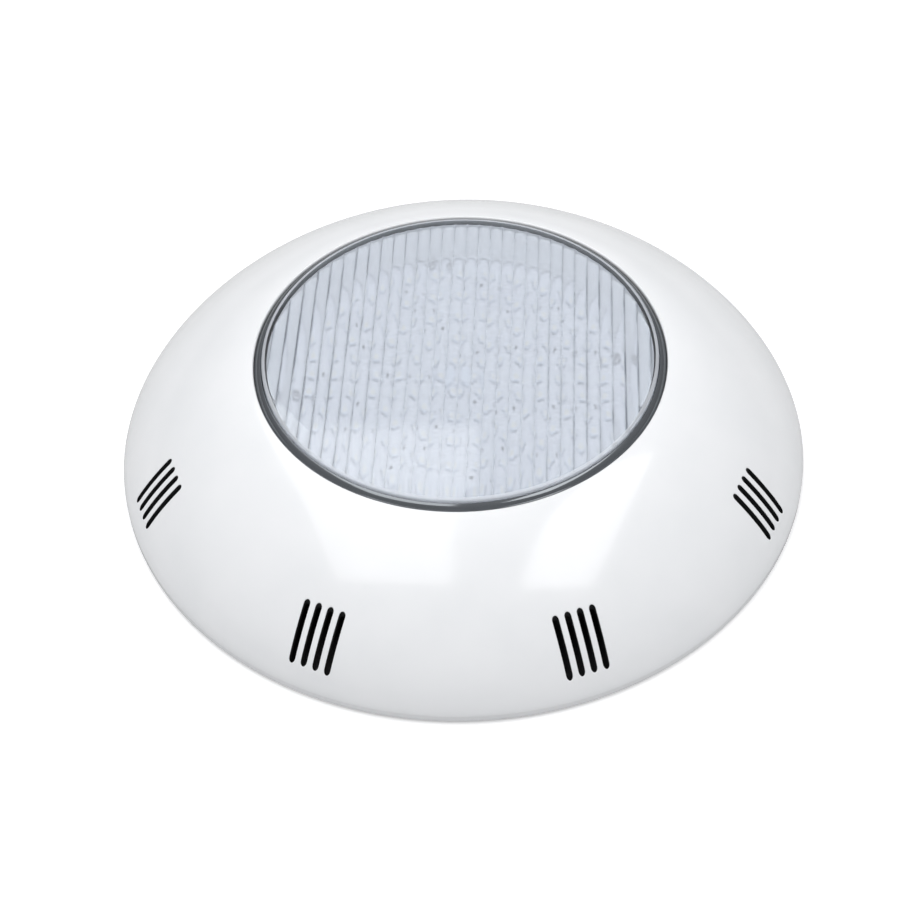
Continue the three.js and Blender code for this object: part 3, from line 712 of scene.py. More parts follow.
def nickel_brass():
    return metal("nickel_brass", (0.6, 0.57, 0.5), (0.7, 0.67, 0.59), (0.16, 0.3))


def copper_wire():
    """Enamelled winding wire."""
    nodes = Nodes("copper_wire")
    nodes.set(Base_Color=nodes.between(nodes.noise(3 * MM), (0.5, 0.17, 0.07), (0.62, 0.24, 0.1)),
              Metallic=1.0, Roughness=nodes.spread(nodes.noise(1 * MM), 0.25, 0.4), Coat_Weight=0.6)
    nodes.bump(nodes.noise(0.4 * MM), 0.01 * MM, 0.3)
    return nodes.material


def ferrite():
    return moulded("ferrite", (0.03, 0.027, 0.025), (0.055, 0.05, 0.046), (0.5, 0.7), grain=0.3 * MM,
                   depth=0.03 * MM)


def led_window():
    """The soft resin window of a package, faintly tinted by its phosphor."""
    nodes = Nodes("led_window")
    tint = nodes.clouds(2.2 * MM, (0.66, 0.65, 0.6), (0.7, 0.7, 0.68))
    nodes.set(Base_Color=tint, Roughness=nodes.spread(nodes.noise(1.5 * MM), 0.1, 0.22), Coat_Weight=0.4)
    nodes.bump(nodes.noise(0.8 * MM, 2), 0.01 * MM, 0.4)
    return nodes.material


def solder_mask():
    """White solder mask with the faint relief of the copper under it."""
    nodes = Nodes("solder_mask")
    shade = nodes.clouds(14 * MM, (0.6, 0.62, 0.67), (0.65, 0.67, 0.71), 4)
    nodes.set(Base_Color=shade, Roughness=nodes.spread(nodes.noise(5 * MM), 0.3, 0.42))
    nodes.bump(nodes.noise(2.5 * MM, 3), 0.03 * MM, 0.5)
    return nodes.material


def green_board():
    """Green solder mask over copper tracks, which follow the cells of a Voronoi pattern."""
    nodes = Nodes("green_board")
    cells = nodes.add("ShaderNodeTexVoronoi", feature="DISTANCE_TO_EDGE", distance="MANHATTAN",
                      Scale=1 / (5 * MM))
    nodes.put(cells.inputs["Vector"], nodes.place)
    track = nodes.spread(cells.outputs["Distance"], 1, 0, (0.05, 0.09))
    nodes.set(Base_Color=nodes.between(track, (0.012, 0.1, 0.035), (0.03, 0.2, 0.07)),
              Roughness=nodes.spread(nodes.noise(4 * MM), 0.25, 0.38))
    nodes.bump(track, 0.04 * MM, 0.8)
    return nodes.material


def solder():
    return metal("solder", (0.5, 0.5, 0.51), (0.66, 0.66, 0.66), (0.2, 0.42), grain=0.5 * MM)


def resistor():
    nodes = Nodes("resistor_body")
    nodes.set(Base_Color=nodes.between(nodes.noise(1 * MM), (0.1, 0.1, 0.11), (0.14, 0.14, 0.15)),
              Roughness=nodes.spread(nodes.noise(0.8 * MM), 0.35, 0.5))
    nodes.bump(nodes.noise(0.3 * MM), 0.01 * MM, 0.4)
    return nodes.material


def valley_lines(nodes):
    """1 along the valleys between flutes, where painted shade lines go, in broken stretches that fade out
    towards the lens's middle.
    """
    apart = nodes.add("ShaderNodeSeparateXYZ")
    nodes.put(apart.inputs[0], nodes.place)
    nearest = nodes.add("ShaderNodeMath", operation="PINGPONG")
    nodes.put(nearest.inputs[0], apart.outputs["X"])
    nearest.inputs[1].default_value = FLUTE_PITCH / 2
    side = nodes.add("ShaderNodeMath", operation="ABSOLUTE")
    nodes.put(side.inputs[0], apart.outputs["X"])
    line = nodes.spread(nearest.outputs[0], 1, 0, mm(0.15, 0.65))
    broken = nodes.spread(nodes.noise(9 * MM, 3, (1, 0.35, 1)), 0.1, 1, (0.4, 0.6))
    outwards = nodes.spread(side.outputs[0], 0, 0.75, mm(22, 72))
    for factor in (broken, outwards):
        product = nodes.add("ShaderNodeMath", operation="MULTIPLY")
        nodes.put(product.inputs[0], line)
        nodes.put(product.inputs[1], factor)
        line = product.outputs[0]
    return line


def clear_lens(name, roughness, tint, milk=0.0, fluted=False):
    """Clear polycarbonate, with some of its light scattered where it is milky, and with painted shade lines
    along its valleys where it is fluted.

    Shadow and diffuse rays pass straight through it.
    """
    nodes = Nodes(name)
    nodes.tree.nodes.remove(nodes.bsdf)
    gloss = nodes.spread(nodes.noise(6 * MM, 4), *roughness)
    glass = nodes.add("ShaderNodeBsdfGlass", IOR=1.5, Color=(*tint, 1), Roughness=gloss)
    clear = nodes.add("ShaderNodeBsdfTransparent", Color=(0.95, 0.965, 0.98, 1))
    path = nodes.add("ShaderNodeLightPath")
    either = nodes.add("ShaderNodeMath", operation="MAXIMUM")
    nodes.put(either.inputs[0], path.outputs["Is Shadow Ray"])
    nodes.put(either.inputs[1], path.outputs["Is Diffuse Ray"])
    surface = glass.outputs[0]
    if milk:
        cloud = nodes.spread(nodes.noise(17 * MM, 2), milk * 0.94, milk * 1.06)
        haze = nodes.add("ShaderNodeBsdfDiffuse", Color=(*MILK_TINT, 1)).outputs[0]
        surface = nodes.mix(cloud, surface, haze)
    # Fluted faces get painted shade: dark lines along their valleys.
    if fluted:
        painted_shade = nodes.add("ShaderNodeBsdfDiffuse", Color=(*VALLEY_PAINTED_SHADE, 1)).outputs[0]
        surface = nodes.mix(valley_lines(nodes), surface, painted_shade)
    nodes.put(nodes.output.inputs["Surface"], nodes.mix(either.outputs[0], surface, clear.outputs[0]))
    return nodes.material


# ---- Face ring ----

def dome_point(share):
    """A point on the dome's outer section, from the rim at 0 to the lens opening at 1."""
    angle = share * math.pi / 2
    out, up = math.cos(angle) ** (2 / DOME_POWER), math.sin(angle) ** (2 / DOME_POWER)
    return (OPENING_R + (RING_R - OPENING_R) * out, DOME_BASE_Z + (DOME_TOP_Z - DOME_BASE_Z) * up)


def dome_inner_point(share):
    """The same point moved inwards by the shell's thickness."""
    nudge = 1e-4
    r0, z0 = dome_point(max(0, share - nudge))
    r1, z1 = dome_point(min(1, share + nudge))
    length = math.hypot(r1 - r0, z1 - z0)
    r, z = dome_point(share)
    return (r - SHELL * (z1 - z0) / length, z + SHELL * (r1 - r0) / length)


def height_by_radius(points):
    """A function from radius to height along a section given as points."""
    ordered = sorted(points)

    def height(r):
        low, high = 0, len(ordered) - 1
        while high - low > 1:
            middle = (low + high) // 2
            if ordered[middle][0] <= r:
                low = middle
            else:
                high = middle
        (r0, z0), (r1, z1) = ordered[low], ordered[high]
        return z0 + (z1 - z0) * min(1, max(0, (r - r0) / (r1 - r0)))
    return height


def shares_between(r_far, r_near, count):
    """Shares of the dome whose radii run from r_far in to r_near, ends included."""
    def share_at(r):
        low, high = 0.0, 1.0
        for _ in range(50):
            middle = (low + high) / 2
            low, high = (middle, high) if dome_point(middle)[0] > r else (low, middle)
        return low
    a, b = share_at(r_far), share_at(r_near)
    return [a + (b - a) * k / count for k in range(count + 1)]


SLOT_ENDS = (SLOT_TIPS[0] + SLOT_WIDTH / 2, SLOT_TIPS[1] - SLOT_WIDTH / 2)
SLOT_LINES = [(i - (SLOTS_PER_GROUP - 1) / 2) * SLOT_PITCH for i in range(SLOTS_PER_GROUP)]


def slot_outline(y, offset):
    return stadium(*SLOT_ENDS, SLOT_WIDTH / 2 + offset, y, 10)


def band_grid(band):
    """Radii and bearings that split one sector of a band, borders included."""
    half = TAU / SECTORS / 2
    columns = SIDES // SECTORS
    radii = [band[0] + (band[1] - band[0]) * k / BAND_ROWS for k in range(BAND_ROWS + 1)]
    return radii, [-half + 2 * half * k / columns for k in range(columns + 1)]


def plain_sector(bm, band, height, turn):
    radii, bearings = band_grid(band)
    rows = [[bm.verts.new(polar(r, turn + b, height(r))) for b in bearings] for r in radii]
    for low, high in zip(rows, rows[1:]):
        for k in range(len(bearings) - 1):
            bm.faces.new((low[k], low[k + 1], high[k + 1], high[k]))


def slotted_sector(bm, band, offset, height, turn):
    """One group's stretch of the shell's skin, with its slots left open."""
    radii, bearings = band_grid(band)
    reach = SLOT_WIDTH / 2 + offset
    border = [(band[0], b) for b in bearings]
    border += [(r, bearings[-1]) for r in radii[1:-1]]
    border += [(band[1], b) for b in reversed(bearings)]
    border += [(r, bearings[0]) for r in reversed(radii[1:-1])]
    slots = [slot_outline(y, offset) for y in SLOT_LINES]
    points, edges = joined(([polar(r, b).xy for r, b in border], *slots))

    def distance_to_slot(x, y):
        along = max(SLOT_ENDS[0] - x, 0, x - SLOT_ENDS[1])
        return min(math.hypot(along, y - line) for line in SLOT_LINES) - reach

    clear = 0.45 * MM
    for r in radii[1:-1]:
        for b in bearings[1:-1]:
            if distance_to_slot(r * math.cos(b), r * math.sin(b)) > clear:
                points.append(polar(r, b).xy / MM)
    flat, _, faces, _, _, _ = delaunay_2d_cdt(points, edges, [], 1, 1e-6)
    flat = [p * MM for p in flat]
    matrix = about_z(turn)
    verts = [bm.verts.new(matrix @ Vector((p.x, p.y, height(p.length)))) for p in flat]
    on_inner_border = {k for k, p in enumerate(flat) if p.length < band[0] + 1e-3 * MM}
    for face in faces:
        middle = sum((flat[k] for k in face), Vector((0, 0))) / 3
        outside = all(k in on_inner_border for k in face)
        if not outside and distance_to_slot(*middle) > 0:
            bm.faces.new([verts[k] for k in face])


def slot_walls(bm, y, outer, inner, turn):
    """A slot's rounded mouth and its walls, down to the shell's inner skin."""
    rows = []
    for k in range(4):
        angle = math.pi / 2 * k / 3
        offset, drop = SLOT_ROUNDING * (1 - math.sin(angle)), SLOT_ROUNDING * (1 - math.cos(angle))
        rows.append([(x, py, outer(math.hypot(x, py)) - drop) for x, py in slot_outline(y, offset)])
    rows.append([(x, py, inner(math.hypot(x, py))) for x, py in slot_outline(y, 0)])
    matrix = about_z(turn)
    faces = skin(bm, [[bm.verts.new(matrix @ Vector(p)) for p in row] for row in rows])
    # The slots' straight walls take the painted slot shade.
    mark_faces(faces[-len(rows[0]):], 1)


def face_ring(materials):
    bm = bmesh.new()
    samples = [k / SECTION_SAMPLES for k in range(SECTION_SAMPLES + 1)]
    outer = height_by_radius([dome_point(s) for s in samples])
    inner = height_by_radius([dome_inner_point(s) for s in samples])
    rounding = 0.9 * MM
    outer_low = [dome_point(s) for s in shares_between(RING_R, OUTER_BAND[1], 7)[1:-1]]
    outer_low.append((OUTER_BAND[1], outer(OUTER_BAND[1])))
    inner_low = [p for p in (dome_inner_point(k / 12 * RIM_SHARE) for k in range(13))
                 if p[0] > INNER_BAND[1] + 0.05 * MM]
    rim = [(INNER_BAND[1], inner(INNER_BAND[1])), *reversed(inner_low)]
    foot = rounded([(RING_R - SHELL, DOME_BASE_Z), (RING_R - SHELL, RIM_Z), (RING_R, RIM_Z),
                    (RING_R, DOME_BASE_Z)], 0.6 * MM, 4, keep=(0, 3))
    turned(bm, [*rim, *foot[1:], *outer_low], closed=False)
    outer_high = [dome_point(s) for s in shares_between(OUTER_BAND[0], OPENING_R + rounding, 26)[1:]]
    lip = [(OPENING_R + rounding * (1 - math.sin(a)), DOME_TOP_Z - rounding * (1 - math.cos(a)))
           for a in (math.pi / 2 * k / 6 for k in range(1, 7))]
    collar_r = OPENING_R + COLLAR_WALL
    collar = rounded([(OPENING_R, DOME_TOP_Z - 2 * MM), (OPENING_R, COLLAR_Z), (collar_r, COLLAR_Z),
                      (collar_r, DOME_TOP_Z - 5 * MM)], 0.5 * MM, 3, keep=(0, 3))
    under = [(r, inner(r)) for r in (collar_r + (INNER_BAND[0] - collar_r) * k / 16 for k in range(17))]
    turned(bm, [(OUTER_BAND[0], outer(OUTER_BAND[0])), *outer_high, *lip, *collar, *under], closed=False)
    for number in range(SECTORS):
        turn = TAU * (number + 0.5) / SECTORS
        if number not in SLOTTED_SECTORS:
            plain_sector(bm, OUTER_BAND, outer, turn)
            plain_sector(bm, INNER_BAND, inner, turn)
            continue
        slotted_sector(bm, OUTER_BAND, SLOT_ROUNDING, outer, turn)
        slotted_sector(bm, INNER_BAND, 0, inner, turn)
        for y in SLOT_LINES:
            slot_walls(bm, y, outer, inner, turn)
    near, far = HOOK_R
    low, ledge, high = HOOK_Z
    hook = rounded([(TOE_R, low), (far, low), (far, high), (near, high), (near, ledge), (TOE_R, ledge)],
                   0.4 * MM, 3)
    for bearing in BAYONETS:
        swept(bm, hook, bearing - TOE_HALF_ANGLE, bearing + TOE_HALF_ANGLE)
    return weigh_normals(finish_mesh(bm, "face_ring_shell", materials, 50))


# ---- Lens, its seals and its clamp ring ----

def flute(x):
    """How far a flute hangs below the valleys at x: shallow arcs side by side."""
    from_middle = ((x / FLUTE_PITCH) % 1 - 0.5) * FLUTE_PITCH
    return math.sqrt(FLUTE_R ** 2 - from_middle ** 2) - math.sqrt(FLUTE_R ** 2 - FLUTE_PITCH ** 2 / 4)


def lens(materials):
    """Crown, shoulder, skirt and flange in rings, and a fluted underside in strips across X."""
    bm = bmesh.new()
    inner_r = LENS_R - LENS_WALL
    reach = math.ceil(inner_r / FLUTE_PITCH) * FLUTE_STEPS
    xs = {round(inner_r * math.cos(math.pi * k / RIM_STEPS), 7) for k in range(RIM_STEPS + 1)}
    xs |= {round(k / FLUTE_STEPS * FLUTE_PITCH, 7) for k in range(-reach, reach + 1)}
    xs = sorted(x for x in xs if abs(x) <= inner_r)
    half = [math.acos(max(-1, min(1, x / inner_r))) for x in reversed(xs)]
    bearings = half + [TAU - b for b in reversed(half[1:-1])]

    def row(r, z):
        if r == 0:
            return [bm.verts.new((0, 0, z))] * len(bearings)
        return [bm.verts.new(polar(r, b, z)) for b in bearings]

    edge_z = LENS_TOP_Z - LENS_CROWN
    radius = LENS_R - 1.4 * MM
    crown = [(radius * k / CROWN_ROWS, LENS_TOP_Z - LENS_CROWN * (k / CROWN_ROWS) ** 2)
             for k in range(CROWN_ROWS + 1)]
    shoulder = rounded([(radius, edge_z), (LENS_R, edge_z - 0.3 * MM), (LENS_R, LENS_FOOT_Z + LENS_FLANGE),
                        (LENS_FLANGE_R, LENS_FOOT_Z + LENS_FLANGE), (LENS_FLANGE_R, LENS_FOOT_Z),
                        (inner_r, LENS_FOOT_Z)], 1.0 * MM, 6, keep=(0, 5))
    made = skin(bm, [row(r, z) for r, z in crown[:-1] + shoulder[:-1]])
    mark_faces(made[len(made) - (len(shoulder) - 2) * len(bearings):], 2)
    wall = [bm.verts.new(polar(inner_r, b, LENS_UNDER_Z - flute(inner_r * math.cos(b)))) for b in bearings]
    mark_faces(skin(bm, [row(*shoulder[-2]), row(*shoulder[-1]), wall]), 2)
    lines = []
    for i, x in enumerate(reversed(xs)):
        near, far = wall[-i], wall[i]
        if near is far or i == len(half) - 1:
            lines.append([near] * (STRIP_CELLS + 1))
            continue
        middle = [bm.verts.new((x, near.co.y + (far.co.y - near.co.y) * k / STRIP_CELLS, near.co.z))
                  for k in range(1, STRIP_CELLS)]
        lines.append([near, *middle, far])
    for left, right in zip(lines, lines[1:]):
        for k in range(STRIP_CELLS):
            corners = distinct((left[k], right[k], right[k + 1], left[k + 1]))
            if len(corners) > 2:
                mark_faces([bm.faces.new(corners)], 1)
    return finish_mesh(bm, "fluted_lens", materials, 25, weld=1e-8)


def lens_seal(materials):
    """A ring of plain section with rounded edges."""
    low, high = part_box("lens_seal")
    bm = bmesh.new()
    section = rectangle((CUP_BORE_R + 0.5 * MM, high.x), (low.z, high.z))
    turned(bm, rounded(section, 0.35 * MM, 5), 240)
    return weigh_normals(finish_mesh(bm, "lens_seal_fine", materials, 45))


def lens_trim_seal(materials):
    """The seal round the lens: it slopes down from the lens to the ring, with a slight crown."""
    low, high = TRIM_BOX
    inner, outer, rise = LENS_R + GAP, high.x, TRIM_RISE
    slope = [(outer - 0.15 * MM, high.z - rise - 0.1 * MM)]
    for k in range(9):
        share = k / 8
        bulge = 0.25 * MM * math.sin(math.pi * share)
        r = outer - 0.4 * MM + (inner - outer + 0.8 * MM) * share
        slope.append((r, high.z - rise * (1 - share) + bulge))
    bm = bmesh.new()
    turned(bm, [(inner, low.z), (outer, low.z), (outer, high.z - rise - 0.5 * MM), *slope,
                (inner + 0.1 * MM, high.z - 0.12 * MM), (inner, high.z - 0.45 * MM)])
    return finish_mesh(bm, "lens_trim_ring", materials, 60)


def lens_clamp_ring(materials):
    bm = bmesh.new()
    low, high = CLAMP_RING_BOX
    holes = [circle(CLAMP_HOLE_R, 24, polar(CLAMP_SCREW_R, TAU * (k + 0.5) / CLAMP_SCREWS))
             for k in range(CLAMP_SCREWS)]
    plate(bm, circle(high.x, 240), [circle(CLAMP_BORE_R, 240), *holes], low.z, high.z)
    return soften(finish_mesh(bm, "lens_clamp_ring_fine", materials, FULL_SMOOTH), 0.2 * MM)


# ---- Light source ----

def led_places():
    for count, radius in LED_RINGS:
        for k in range(count):
            yield radius, TAU * k / count


def led_board(materials):
    """The board, its light-emitting packages and the small resistors between their rings."""
    low, top = BOARD_BOX[0].z, BOARD_BOX[1].z
    high = top - LED_HEIGHT
    bm = bmesh.new()
    section = rectangle((LEAD_BORE_R, BOARD_BOX[1].x), (low, high))
    turned(bm, rounded(section, 0.2 * MM, 2), 240)
    for r, b in led_places():
        matrix = about_z(b) @ Matrix.Translation((r, 0, 0))
        half = LED_SIZE / 2
        block(bm, (-half, -half, high - 0.05 * MM), (half, half, top), 0.18 * MM, 2, matrix, 1)
        rim, sunk, crown = 0.36 * LED_SIZE, top - 0.1 * MM, top + 0.07 * MM
        window = [(0, sunk), (rim, sunk), (rim, top), (rim * 0.94, crown), (0, crown)]
        dome = vertices_of(turned(bm, window, 24, closed=False))
        bmesh.ops.transform(bm, matrix=matrix, verts=dome)
        mark_faces({f for v in dome for f in v.link_faces}, 2)
        for side in (-1, 1):
            for along in mm(-1.6, 0, 1.6):
                y = side * (half + 0.3 * MM)
                block(bm, (along - 0.45 * MM, y - 0.35 * MM, high - 0.02 * MM),
                      (along + 0.45 * MM, y + 0.35 * MM, high + 0.11 * MM), 0, 1, matrix, 3)
    cap_r = 5.4 * MM
    cap = [(0, high - 0.1 * MM), (cap_r, high - 0.1 * MM), (cap_r, top - 0.2 * MM),
           (5 * MM, top + 0.2 * MM), (0, top + 0.35 * MM)]
    before = set(bm.faces)
    turned(bm, cap, 60, closed=False)
    mark_faces(set(bm.faces) - before, 1)
    for r in mm(*RESISTOR_RINGS_MM):
        count = int(r / MM // 5)
        for k in range(count):
            matrix = about_z(TAU * (k + 0.5) / count) @ Matrix.Translation((r, 0, high))
            block(bm, mm(-0.6, -1, 0), mm(0.6, 1, 0.5), 0.06 * MM, 1, matrix, 4)
            for side in mm(-1.2, 0.7):
                block(bm, (-0.62 * MM, side, 0), (0.62 * MM, side + 0.5 * MM, 0.54 * MM), 0.05 * MM, 1,
                      matrix, 3)
    return finish_mesh(bm, "led_board_fine", materials, 30)


def reflector_ring(materials):
    """A cone round the board, ribbed on the side that faces the light."""
    low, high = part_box("reflector_ring")
    foot, top, outer = low.z, high.z, high.x
    bm = bmesh.new()
    section = [(outer, foot), (outer, top), (outer - 0.9 * MM, top), (outer - 7.5 * MM, foot)]
    section = rounded(section, 0.3 * MM, 3)
    slope = len(section) // 2

    def ribbed(r):
        return lambda b: r + RIB_DEPTH * abs(math.sin(RIBS / 2 * b))

    outline = [(r, z) if k < slope else (ribbed(r), z) for k, (r, z) in enumerate(section)]
    turned(bm, outline, RIBS * 8)
    return finish_mesh(bm, "reflector_cone", materials, 40)


def heat_sink(materials):
    """A round plate with straight fins under it."""
    bm = bmesh.new()
    top = SINK_BOX[1].z
    plate_z = top - SINK_PLATE
    radius = SINK_BOX[1].x
    holes = [circle(1.9 * MM, 24, polar(SINK_POST_R, b)) for b in SINK_POSTS]
    plate(bm, circle(radius, 200), [circle(5 * MM, 48), *holes], plate_z, top)
    for k in range(FINS):
        y = (k - (FINS - 1) / 2) * FIN_PITCH
        half = math.sqrt((radius - FIN_MARGIN) ** 2 - y ** 2)
        ends = [-half, half]
        for bearing in SINK_POSTS:
            post = polar(SINK_POST_R, bearing)
            if abs(post.y - y) < 6.2 * MM:
                side = 1 if post.x > 0 else 0
                ends[side] = post.x + (-5.6 * MM if side else 5.6 * MM)
        stretches = [ends] if abs(y) > 5 * MM else [(ends[0], -5.2 * MM), (5.2 * MM, ends[1])]
        for start, end in stretches:
            block(bm, (start, y - 1 * MM, SINK_BOX[0].z), (end, y + 1 * MM, plate_z + 0.5 * MM))
    return soften(finish_mesh(bm, "heat_sink_fine", materials, FULL_SMOOTH), 0.3 * MM)


# ---- Lamp housing ----

def lamp_housing(materials):
    """A stepped cup with a gland chamber at its side, posts in it and lugs round its flange."""
    rim_z = HOUSING_BOX[1].z
    outline = [(0, CUP_BASE_Z), (CUP_R - 2 * MM, CUP_BASE_Z), (CUP_R, CUP_BASE_Z + 2 * MM),
               (CUP_R, CUP_FLOOR_Z), (SNAP_RIB_R, CUP_FLOOR_Z + 1.2 * MM), (SNAP_RIB_R, CUP_FLOOR_Z + 2 * MM),
               (CUP_R, CUP_FLOOR_Z + 2.6 * MM), (CUP_R, FLANGE_Z), (FLANGE_R, FLANGE_Z), (FLANGE_R, rim_z),
               (RIM_BORE_R, rim_z), (RIM_BORE_R, SEAT_Z), (CUP_BORE_R, SEAT_Z), (CUP_BORE_R, CUP_FLOOR_Z),
               (0, CUP_FLOOR_Z)]
    cup = bmesh.new()
    turned(cup, rounded(outline, 0.5 * MM, 3, keep=(0, len(outline) - 1)), 192, closed=False)
    housing = finish_mesh(cup, "lamp_housing_fine", materials, FULL_SMOOTH)
    chamber = bmesh.new()
    block(chamber, (CHAMBER_X[0], CHAMBER_Y[0], HOUSING_BOX[0].z),
          (CHAMBER_X[1], CHAMBER_Y[1], FLANGE_Z + 1 * MM))
    combine(housing, chamber, "UNION")
    hollow = bmesh.new()
    block(hollow, (CHAMBER_X[0] - 5 * MM, CHAMBER_Y[0] + CHAMBER_WALL, CUP_FLOOR_Z),
          (CHAMBER_X[1] - CHAMBER_WALL, CHAMBER_Y[1] - CHAMBER_END_WALL, FLANGE_Z - CHAMBER_WALL))
    combine(housing, hollow, "DIFFERENCE")
    entry = bmesh.new()
    line = [GLAND_AXIS + Vector((0, y, 0)) for y in (-CHAMBER_END_WALL - 1 * MM, 1 * MM)]
    tube(entry, [line[0], line[0].lerp(line[1], 0.5), line[1]], GLAND_HOLE_R, 48)
    combine(housing, entry, "DIFFERENCE")
    soften(housing, 0.35 * MM)
    apply_modifiers(housing)
    bm = bmesh.new()
    bm.from_mesh(housing.data)
    posts = [(polar(SINK_POST_R, b), 4 * MM, SINK_BOX[1].z - SINK_PLATE) for b in SINK_POSTS]
    posts += [(Vector((x, y, 0)), 3 * MM, DRIVER_BOX[0].z - GAP)
              for x in (-DRIVER_HOLES[0], DRIVER_HOLES[0]) for y in (-DRIVER_HOLES[1], DRIVER_HOLES[1])]
    for place, radius, top in posts:
        low = CUP_FLOOR_Z - 1 * MM
        post = [(0, low), (radius, low), (radius, top - 0.3 * MM), (radius - 0.3 * MM, top), (0, top)]
        bmesh.ops.translate(bm, vec=place, verts=vertices_of(turned(bm, post, 32, closed=False)))
    for bearing in BAYONETS:
        end = bearing + TOE_HALF_ANGLE + math.radians(0.5)
        stop = bearing - TOE_HALF_ANGLE - math.radians(0.6)
        start = stop - math.radians(3)
        lug = rectangle(LUG_R, (FLANGE_Z, LUG_Z[1]))
        swept(bm, rounded(lug, 0.4 * MM, 3), start, end)
        below = rectangle((LUG_R[0], LUG_R[1] - 0.2 * MM), (LUG_Z[0], LUG_Z[1] - 1 * MM))
        swept(bm, rounded(below, 0.4 * MM, 3), start + math.radians(0.1), stop - math.radians(0.1), 4)
    bpy.data.objects.remove(housing)
    return finish_mesh(bm, "lamp_housing_shell", materials, 40)


# ---- Screws ----

def pan_screw(name, head_r, head_height, shank_r, length, seat, materials):
    """A pan-head screw with a hexagonal socket and a ringed thread, its head on the seat."""
    bm = bmesh.new()
    thread = []
    pitch = 0.7 * MM
    turns = int((length - 1.2 * MM) / pitch)
    for k in range(turns):
        z = -length + 0.6 * MM + k * pitch
        thread += [(shank_r * 0.84, z), (shank_r, z + pitch * 0.45), (shank_r, z + pitch * 0.6)]
    head = [(head_r * 0.97, 0), (head_r, head_height * 0.12), (head_r, head_height * 0.45)]
    head += [(head_r * (0.7 + 0.3 * math.cos(a)), head_height * (0.45 + 0.55 * math.sin(a)))
             for a in (math.pi / 2 * k / 5 for k in range(1, 6))]
    socket = hexagon(head_r)
    floor = head_height * 0.4
    rows = [(0, -length), (shank_r * 0.7, -length), (shank_r * 0.84, -length + 0.4 * MM), *thread,
            (shank_r, -0.5 * MM), (shank_r, 0), *head, (head_r * 0.63, head_height),
            (socket, head_height - 0.12 * MM), (socket, floor), (0, floor - 0.15 * MM)]
    turned(bm, rows, 36, closed=False)
    turn = about_z(random.uniform(0, TAU))
    return finish_mesh(bm, name, materials, 35, place=seat, turn=turn)


def screws_for(body, prefix, count, shape, material):
    """One fine screw for each CAD screw of that name, its seat worked out from the CAD screw's box."""
    head_r, head_height, shank_r, length = (value * MM for value in shape)
    for k in range(1, count + 1):
        node = f"{prefix}_{k}"
        low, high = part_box(node)
        seat = Vector(((low.x + high.x) / 2, (low.y + high.y) / 2, high.z - head_height))
        made = pan_screw(f"{node}_fine", head_r, head_height, shank_r, length, seat, [material])
        stand_in(made, body, "stainless", node)


# ---- Driver ----

def driver_board(materials):
    """The board, its solder joints and small parts."""
    bm = bmesh.new()
    low, high = DRIVER_BOX
    holes = [circle(1.5 * MM, 24, (x, y)) for x in (-DRIVER_HOLES[0], DRIVER_HOLES[0])
             for y in (-DRIVER_HOLES[1], DRIVER_HOLES[1])]
    plate(bm, rounded(rectangle((low.x, high.x), (low.y, high.y)), 2 * MM, 4), holes, low.z, high.z)
    for x, y in SMALL_PARTS_MM:
        matrix = Matrix.Translation((x * MM, y * MM, high.z))
        block(bm, mm(-0.6, -1, 0), mm(0.6, 1, 0.5), 0.06 * MM, 1, matrix, 1)
        for side in mm(-1.3, 0.7):
            block(bm, (-0.65 * MM, side, -0.02 * MM), (0.65 * MM, side + 0.6 * MM, 0.54 * MM), 0.05 * MM, 1,
                  matrix, 2)
    return finish_mesh(bm, "driver_board_fine", materials, 30)


def component_place(node):
    """The middle of a driver part's foot."""
    low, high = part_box(node)
    return Vector(((low.x + high.x) / 2, (low.y + high.y) / 2, low.z))


def capacitor(node, materials):
    """An electrolytic capacitor: sleeve with a crimp groove, and a metal top scored to vent."""
    bm = bmesh.new()
    r, height = 5 * MM, 7.6 * MM
    outline = [(0, 0), (r, 0), (r, 1 * MM), (r - 0.35 * MM, 1.4 * MM), (r, 1.9 * MM), (r, height),
               (r - 0.9 * MM, height), (r - 1 * MM, height - 0.15 * MM)]
    turned(bm, [*rounded(outline, 0.35 * MM, 4, keep=(0, 6, 7)), (0, height - 0.15 * MM)], 48, closed=False)
    for face in bm.faces:
        if face.calc_center_median().xy.length < r - 1 * MM and face.calc_center_median().z > height / 2:
            face.material_index = 1
    for turn in (0, math.pi / 2):
        block(bm, (-2.6 * MM, -0.15 * MM, height - 0.2 * MM), (2.6 * MM, 0.15 * MM, height - 0.08 * MM),
              0.04 * MM, 1, about_z(turn), 1)
    return finish_mesh(bm, f"{node}_fine", materials, 35, place=component_place(node))


def bridge_rectifier(materials):
    bm = bmesh.new()
    half, height, notch = 7 * MM, 5 * MM, 2 * MM
    outer = [(-half, -half), (half, -half), (half, half - notch), (half - notch, half), (-half, half)]
    plate(bm, outer, [circle(1.6 * MM, 32)], 0, height)
    return soften(finish_mesh(bm, "bridge_rectifier_fine", materials, FULL_SMOOTH,
                              place=component_place("bridge_rectifier")), 0.4 * MM, 3)


def choke(materials):
    """A toroidal core wound with wire over most of its turn."""
    bm = bmesh.new()
    core_r, section_r, wire_r = mm(6.5, 2.05, 0.27)
    section = [(core_r + section_r * math.cos(angle), section_r * math.sin(angle))
               for angle in (TAU * k / 20 for k in range(20))]
    turned(bm, section, 72)
    core = set(bm.faces)
    turns = 40
    span = TAU * 0.86
    loop_r = section_r + wire_r
    steps = turns * 20
    line = []
    for k in range(steps + 1):
        around, through = span * k / steps, TAU * turns * k / steps
        line.append(polar(core_r + loop_r * math.cos(through), around, loop_r * math.sin(through)))
    tube(bm, line, wire_r, 8)
    mark_faces(set(bm.faces) - core, 1)
    low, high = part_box("choke")
    return finish_mesh(bm, "choke_fine", materials, 60, weld=0, place=(low + high) / 2)


